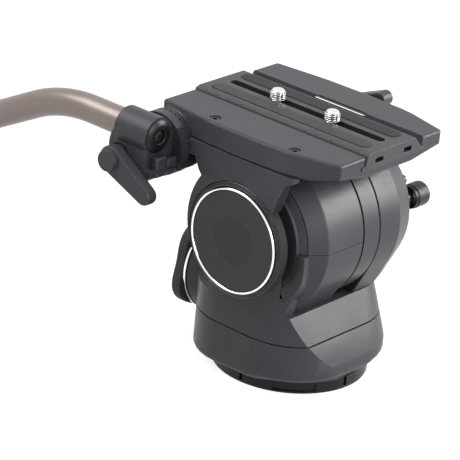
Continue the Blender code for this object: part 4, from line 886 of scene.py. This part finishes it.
def make_near_dial():
    """The drag dial: drum, bright ring, face and centre disc, all turned about the tilt axis."""
    pivot = (0, 0, TILT_Z)
    body = "tilt_drag_dial"
    drum = [
        (BORE, DIAL_BACK),
        (DIAL_RADIUS, DIAL_BACK),
        (DIAL_RADIUS, -0.0646),
        (DIAL_RADIUS - 0.0011, -0.0653),
        (DIAL_RADIUS - 0.0012, -0.0650),
        (DIAL_RADIUS - 0.0015, -0.0650),
        (DIAL_RADIUS - 0.0016, -0.0655),
        (DIAL_RADIUS - 0.0022, -0.0656),
        (DIAL_RING_RADIUS + GAP, -0.0656),
        (DIAL_RING_RADIUS + GAP, DIAL_FLOOR),
        (BORE, DIAL_FLOOR),
    ]
    shape = turned_shape(eased(drum, 0.0004, 3), "X", pivot)
    piece = settle(shape, "dial_drum_turned", "dial", body, ["dial_drum"])
    # Painted shade on the drum's side walls.
    paint_shade(piece, lambda face: abs(face.normal.x) < 0.75)
    floor, ease = DIAL_FLOOR - GAP, 0.0004
    ring = [
        (DIAL_RING_RADIUS, floor),
        (DIAL_RING_RADIUS, DIAL_RING_FRONT + ease),
        (DIAL_RING_RADIUS - ease, DIAL_RING_FRONT),
        (DIAL_RING_INNER + ease, DIAL_RING_FRONT),
        (DIAL_RING_INNER, DIAL_RING_FRONT + ease),
        (DIAL_RING_INNER, floor),
    ]
    shape = turned_shape(eased(ring, 0.0002, 3), "X", pivot)
    settle(shape, "dial_ring_turned", "ring", body, ["dial_ring"])
    edge = DIAL_RING_INNER - GAP
    pocket = -0.0659
    face = [
        (0.0, floor),
        (edge, floor),
        (edge, DIAL_FACE_FRONT + 0.0002),
        (edge - 0.0005, DIAL_FACE_FRONT),
        (DISC_RADIUS, DIAL_FACE_FRONT),
        (DISC_RADIUS, pocket),
        (0.0, pocket),
    ]
    shape = turned_shape(eased(face, 0.0002, 3), "X", pivot)
    settle(shape, "dial_face_turned", "dial", body, ["dial_face"])
    back, reach = pocket - GAP, DISC_RADIUS - 0.00005
    disc = [(0.0, back), (reach, back), (reach, DIAL_FACE_FRONT), (0.0, DIAL_FACE_FRONT)]
    shape = turned_shape(eased(disc, 0.0001, 2), "X", pivot)
    settle(shape, "dial_disc_turned", "body_dark", body, ["dial_disc"])


def make_rear_dial():
    """The counterbalance dial: cone, bright band, lobed grip and end disc, turned about Y."""
    pivot = (0, 0, REAR_DIAL_Z)
    body = "counterbalance_dial"
    cone_front, cone_back, shaft_end = 0.0550, 0.0652, 0.0490
    cone = [
        (0, cone_back),
        (0.0310, cone_back),
        (0.0290, cone_front),
        (BORE, cone_front),
        (BORE, shaft_end),
        (0, shaft_end),
    ]
    shape = turned_shape(eased(cone, 0.0008), "Y", pivot)
    settle(shape, "rear_dial_cone", "body", body, ["rear_dial_base"])
    inner, outer, front, back = 0.0240, 0.0318, 0.0655, 0.0672
    ring = [(inner, back), (outer, back), (outer, front), (inner, front)]
    shape = turned_shape(eased(ring, GAP), "Y", pivot)
    settle(shape, "rear_dial_band", "rear_ring", body, ["rear_dial_ring"])
    grip_start, grip_end, first_lobe = back + GAP, 0.0755, math.radians(134)
    points = []
    for step in range(FINE):
        angle = math.tau * step / FINE
        swell = math.cos(REAR_GRIP_LOBES * (angle - first_lobe))
        radius = REAR_GRIP_RADIUS + REAR_GRIP_SWELL * swell
        points.append((radius * math.cos(angle), -REAR_DIAL_Z - radius * math.sin(angle)))
    shape = prism_shape(points, grip_start, grip_end, "Y")
    soften(shape, 0.0018, 4, angle=50)
    settle(shape, "rear_dial_knob", "grip", body, ["rear_dial_grip"], sharp=ROUND_SHARP_ANGLE)
    disc_radius, disc_start, disc_end = 0.0200, 0.0740, 0.0759
    disc = [
        (0, disc_end - 0.0005),
        (disc_radius - 0.0012, disc_end - 0.0005),
        (disc_radius, disc_end),
        (disc_radius, disc_start),
        (0, disc_start),
    ]
    shape = turned_shape(eased(disc, GAP), "Y", pivot, ROUND)
    settle(shape, "rear_dial_plate", "body", body, ["rear_dial_disc"])


def make_tube():
    """The bent handle tube: a ring drawn through the clamp, round the bend and down to the grip."""
    shape = bmesh.new()
    bmesh.ops.create_circle(shape, cap_ends=True, radius=TUBE_RADIUS, segments=SMALL)
    turn_to("Y", shape)
    bmesh.ops.translate(shape, verts=shape.verts, vec=(HOLDER_X, TUBE_START, HOLDER_Z))

    def draw_on(faces, run, fall):
        made = bmesh.ops.extrude_face_region(shape, geom=faces)["geom"]
        corners = [item for item in made if isinstance(item, bmesh.types.BMVert)]
        bmesh.ops.translate(shape, verts=corners, vec=(0, run, -fall))
        return [item for item in made if isinstance(item, bmesh.types.BMFace)]

    end = draw_on(shape.faces[:], BEND_START - TUBE_START, 0)
    rims = {edge for face in end for edge in face.edges}
    corners = {vert for face in end for vert in face.verts}
    bend = math.radians(BEND_ANGLE)
    spun = bmesh.ops.spin(
        shape,
        geom=[*end, *rims, *corners],
        cent=(HOLDER_X, BEND_START, HOLDER_Z - BEND_RADIUS),
        axis=(-1, 0, 0),
        angle=bend,
        steps=BEND_ANGLE,
    )["geom_last"]
    last = [item for item in spun if isinstance(item, bmesh.types.BMFace)]
    draw_on(last, TUBE_FALL_LENGTH * math.cos(bend), TUBE_FALL_LENGTH * math.sin(bend))
    node = "handle_tube"
    settle(shape, node + "_drawn", "tube", "pan_handle", [node], sharp=ROUND_SHARP_ANGLE)


def screw_rings(low, high, turn, rows, crown_rows):
    """The rings of a camera screw from its head up to its crown, as (radius, height) at each step
    round. The thread's ridge climbs by one pitch a turn and fades out at both ends."""
    root = SCREW_RADIUS - THREAD_DEPTH
    head, ease = 0.0020, 0.0012
    thread_low = high - THREAD_LENGTH - ease
    profile = [
        (0.0, low),
        (SCREW_HEAD_RADIUS, low),
        (SCREW_HEAD_RADIUS, low + head),
        (SCREW_NECK_RADIUS, low + head),
        (SCREW_NECK_RADIUS, thread_low),
        (root, thread_low),
    ]
    rings = [[point] * turn for point in eased(profile, 0.0002, 2)[1:]]
    for row in range(rows + 1):
        share = row / rows
        height = thread_low + THREAD_LENGTH * share
        fade = min(1.0, share * 6, (1 - share) * 6)
        ring = []
        for step in range(turn):
            phase = (height / THREAD_PITCH - step / turn) % 1.0
            crest = 1 - abs(2 * phase - 1)
            ring.append((root + THREAD_DEPTH * fade * min(1.0, 1.5 * crest), height))
        rings.append(ring)
    for step in range(1, crown_rows + 1):
        lean = math.radians(90 * step / (crown_rows + 1))
        point = (root * math.cos(lean), high - ease * (1 - math.sin(lean)))
        rings.append([point] * turn)
    return rings, thread_low


def make_studs():
    """The two camera screws, with a real thread, a smooth neck and a flat head."""
    turn, rows, crown_rows = 56, 54, 5
    for node, body, middle in (
        ("camera_screw_front", "front_camera_screw", -0.0135),
        ("camera_screw_rear", "rear_camera_screw", 0.0307),
    ):
        solid = frame["nodes"][node]
        heights = [(solid.matrix_world @ Vector(corner)).z for corner in solid.bound_box]
        rings, thread_low = screw_rings(min(heights), max(heights), turn, rows, crown_rows)
        sections = []
        for ring in rings:
            section = []
            for step, (reach, height) in enumerate(ring):
                angle = math.tau * step / turn
                across, along = reach * math.cos(angle), reach * math.sin(angle)
                section.append((SLOT_X + across, middle + along, height))
            sections.append(section)
        shape = loft_shape(sections)
        piece = settle(shape, node + "_threaded", "stud", body, [node], sharp=50)

        def in_groove(face):
            reach = math.hypot(face.center.x - SLOT_X, face.center.y - middle)
            up = face.center.z - thread_low
            below_crest = 0.0036 < reach < SCREW_RADIUS - THREAD_DEPTH / 2
            return below_crest and 0 < up < THREAD_LENGTH - 0.0002

        # Painted shade in the thread's grooves.
        paint_shade(piece, in_groove, "groove")


def make_ticks():
    """The small index marks along the near bevel of the sliding plate."""
    mark_x, mark_z = -0.0220, PLATE_TOP - 0.0006
    shape = bmesh.new()
    for place in (0.069, 0.059, 0.049, 0.039, 0.028, -0.013, -0.022, -0.033, -0.043, -0.053):
        mark = bmesh.ops.create_cube(shape, size=1.0)["verts"]
        bmesh.ops.scale(shape, vec=(0.0026, 0.0007, 0.0007), verts=mark)
        bmesh.ops.translate(shape, vec=(mark_x, place, mark_z), verts=mark)
    soften(shape, 0.00012, 2)
    settle(shape, "index_marks", "mark", "camera_plate")


def make_plug():
    """The plug in the holder's front, with a raised lip and a deep socket."""
    back, floor, socket_radius = 0.0600, 0.0550, 0.0041
    dome = [
        (0.0, floor),
        (socket_radius, floor),
        (socket_radius, 0.0512),
        (0.0046, 0.0507),
        (0.0075, 0.0510),
        (0.0094, 0.0518),
        (0.0106, 0.0526),
        (0.0112, 0.0536),
        (0.0108, 0.0545),
        (0.0090, back),
        (0.0, back),
    ]
    shape = turned_shape(eased(dome, 0.0006, 3), "Y", (HOLDER_X, 0, HOLDER_Z))
    settle(shape, "holder_plug_turned", "base", "handle_bracket", ["holder_plug"])


def make_plug_screw():
    """The screw at the bottom of the plug's socket, with its own hexagonal socket."""
    steps, screw_radius, half_across_flats = 36, 0.0036, 0.0017
    circle, hexagon = [], []
    for step in range(steps):
        angle = math.tau * step / steps
        lean = (math.degrees(angle) + 30) % 60 - 30
        reach = half_across_flats / math.cos(math.radians(lean))
        circle.append((screw_radius * math.cos(angle), screw_radius * math.sin(angle)))
        hexagon.append((reach * math.cos(angle), reach * math.sin(angle)))
    sections = []
    steps_in = ((circle, 0.0548), (circle, 0.0526), (hexagon, 0.0523), (hexagon, 0.0543))
    for outline, depth in steps_in:
        sections.append([(HOLDER_X + a, depth, HOLDER_Z + b) for a, b in outline])
    # Painted shade: the screw deep in the plug's socket takes the dark hollow finish.
    settle(loft_shape(sections), "holder_plug_screw", "groove", "handle_bracket")


def make_clamp_steps():
    """The two small steps under the plug, each given by its lowest and highest corner."""
    for name, low, high in (
        ("clamp_lug", (-0.0880, 0.0470, 0.1306), (-0.0789, 0.0536, 0.1437)),
        ("clamp_shoulder", (-0.0780, 0.0474, 0.1306), (-0.0694, 0.0536, 0.1412)),
    ):
        outline = [(low[0], low[1]), (high[0], low[1]), (high[0], high[1]), (low[0], high[1])]
        shape = prism_shape(outline, low[2], high[2])
        soften(shape, 0.0013, 4)
        settle(shape, name, "body", "handle_bracket")


def in_the_slot(face):
    """The walls of the camera screws' slot, and the two pockets in the plate's front, which get
    painted shade.
    """
    off_centre = abs(face.center.x - SLOT_X)
    slot_start, slot_end, slot_reach = -0.0575, 0.0745, 0.0075
    wall = abs(face.normal.z) < 0.5
    if wall and off_centre < slot_reach and slot_start < face.center.y < slot_end:
        return True
    pocket_start, pocket_end, pocket_reach = -0.0622, -0.0560, 0.020
    low = face.center.z < PLATE_TOP - 0.0022
    return low and off_centre < pocket_reach and pocket_start < face.center.y < pocket_end


def under_the_plate(face):
    """The floor of the groove that the camera plate slides in, which gets painted shade."""
    groove_near, groove_far, groove_low = -0.036, 0.040, 0.150
    inside = groove_near < face.center.x < groove_far
    return face.normal.z > 0.5 and inside and groove_low < face.center.z < PLATE_TOP - 0.006


def dress_the_rest():
    """Each other node keeps its own form, with a finish and the width of its softened edges."""
    looks = {
        "base_ring": ("base", 0.0004),
        "socket_bush": ("steel", 0.0003),
        "pan_spindle": ("steel", 0.0003),
        "far_barrel": ("body", 0.0006),
        "platform": ("body", 0.0003),
        "near_rosette": ("body_dark", 0.0001),
        "slide_plate": ("plate", 0.0003),
        "near_pad": ("pad", 0.0003),
        "far_pad": ("rubber", 0.0003),
        # Painted shade: the screw carriers down in the slot take the dark shade finish.
        "screw_carrier_front": ("rim", 0.0003),
        "screw_carrier_rear": ("rim", 0.0003),
        "clamp_bar": ("plate", 0.0003),
        "plate_lock_lever": ("body", 0.0006),
        "handle_clamp": ("body", 0.0005),
        "wing_lever": ("body", 0.0006),
        "handle_grip": ("grip", 0.0004),
        "handle_end_cap": ("body_dark", 0.0006),
        "tilt_axle": ("steel", 0.0003),
        "tilt_lock_neck": ("steel", 0.0003),
        "pan_lock_neck": ("steel", 0.0003),
        "tilt_lock_collar": ("base", 0.0003),
        "pan_lock_collar": ("base", 0.0003),
        "tilt_lock_knob": ("body_dark", 0.0005),
        "pan_lock_knob": ("body_dark", 0.0005),
    }
    for kind, count in (("cap_screw", 4), ("base_screw", 3), ("wing_screw", 2)):
        for number in range(1, count + 1):
            looks[f"{kind}_{number}"] = ("dark_steel", 0.0002)
    # Faces that get painted shade: the seams beside the drum, the clamp's front face, the slot and
    # pockets, and the groove floor under the plate.
    painted_shade_faces = {
        "far_barrel": beside_the_drum,
        "handle_clamp": lambda face: face.normal.y < -0.7,
        "slide_plate": in_the_slot,
        "platform": under_the_plate,
    }
    for node, (look, width) in looks.items():
        piece = dressed(node, look, width, CRISP_ANGLES.get(node, SHARP_ANGLE))
        if node in painted_shade_faces:
            paint_shade(piece, painted_shade_faces[node])


make_barrel()
make_near_dial()
make_rear_dial()
make_tube()
make_studs()
make_ticks()
make_plug()
make_plug_screw()
make_clamp_steps()
make_cradle()
make_cheek()
make_foot_rim()
make_seams()
make_arm()
make_skirt()
make_housing()
dress_the_rest()


# Stage, light and camera
def seen_rays(tree, path):
    """1 for the camera's rays and for those that metal or glass sends on, 0 for the rest."""
    seen = path.outputs["Is Camera Ray"]
    for label in ("Is Glossy Ray", "Is Transmission Ray"):
        either = add_node(tree, "ShaderNodeMath", {"operation": "MAXIMUM"})
        link(tree, seen, either.inputs[0])
        link(tree, path.outputs[label], either.inputs[1])
        seen = either.outputs[0]
    return seen


def make_floor():
    """A pale floor that reads as white around the object and keeps its shadow."""
    shape = bmesh.new()
    bmesh.ops.create_grid(shape, x_segments=1, y_segments=1, size=8.0)
    mesh = bpy.data.meshes.new("floor")
    shape.to_mesh(mesh)
    shape.free()
    material = bpy.data.materials.new("pale_floor")
    material.use_nodes = True
    tree = material.node_tree
    shader = tree.nodes["Principled BSDF"]
    grey, glow = 0.24, 0.84
    shader.inputs["Base Color"].default_value = (grey, grey, grey, 1)
    shader.inputs["Roughness"].default_value = 0.9
    shader.inputs["Specular IOR Level"].default_value = 0.0
    path = add_node(tree, "ShaderNodeLightPath")
    shader.inputs["Emission Color"].default_value = (1, 1, 1, 1)
    lift = add_node(tree, "ShaderNodeMath", {"operation": "MULTIPLY"})
    lift.inputs[1].default_value = glow
    link(tree, seen_rays(tree, path), lift.inputs[0])
    link(tree, lift.outputs[0], shader.inputs["Emission Strength"])
    mesh.materials.append(material)
    floor = bpy.data.objects.new("floor", mesh)
    bpy.context.scene.collection.objects.link(floor)


def make_lamp(name, place, aim, size, power, colour):
    """A rectangular area light, turned to face the head's axis at the height of its aim."""
    data = bpy.data.lights.new(name, "AREA")
    data.shape = "RECTANGLE"
    data.size, data.size_y = size
    data.energy = power
    data.color = colour
    lamp = bpy.data.objects.new(name, data)
    facing = (Vector(place) - Vector((0, 0, aim))).to_track_quat("Z", "Y")
    lamp.matrix_world = Matrix.Translation(place) @ facing.to_matrix().to_4x4()
    bpy.context.scene.collection.objects.link(lamp)


def make_world():
    """Even light from all round, seen as white."""
    world = bpy.data.worlds.new("studio")
    bpy.context.scene.world = world
    world.use_nodes = True
    tree = world.node_tree
    background = tree.nodes["Background"]
    background.inputs["Color"].default_value = (1, 1, 1, 1)
    path = add_node(tree, "ShaderNodeLightPath")
    strength = add_node(tree, "ShaderNodeMapRange")
    strength.inputs["To Min"].default_value = 0.45
    strength.inputs["To Max"].default_value = 1.0
    link(tree, seen_rays(tree, path), strength.inputs["Value"])
    link(tree, strength.outputs["Result"], background.inputs["Strength"])


def make_camera():
    """The camera at the photograph's angle."""
    place, heading, fall, roll, lens = (-1.2796, -1.0016, 0.7994), -50.37, 23.74, 5.20, 221.71
    data = bpy.data.cameras.new("camera")
    camera = bpy.data.objects.new("camera", data)
    bpy.context.scene.collection.objects.link(camera)
    data.sensor_width = 36
    data.lens = lens
    data.clip_end = 30
    turned = Matrix.Rotation(math.radians(heading), 4, "Z")
    lowered = Matrix.Rotation(math.radians(90 - fall), 4, "X")
    rolled = Matrix.Rotation(math.radians(roll), 4, "Z")
    camera.matrix_world = Matrix.Translation(place) @ turned @ lowered @ rolled
    bpy.context.scene.camera = camera


make_floor()
make_world()
make_lamp(
    "key",
    place=(1.72, -1.18, 0.88),
    aim=0.09,
    size=(1.1, 1.2),
    power=62,
    colour=(1.0, 0.985, 0.965),
)
make_lamp(
    "top",
    place=(-0.75, 0.85, 1.65),
    aim=0.10,
    size=(1.4, 1.4),
    power=36,
    colour=(0.97, 0.98, 1.0),
)
make_lamp(
    "fill",
    place=(-0.20, -1.85, 0.80),
    aim=0.10,
    size=(1.3, 1.0),
    power=36,
    colour=(0.90, 0.95, 1.0),
)
make_camera()
bpy.context.scene.view_settings.view_transform = "Standard"
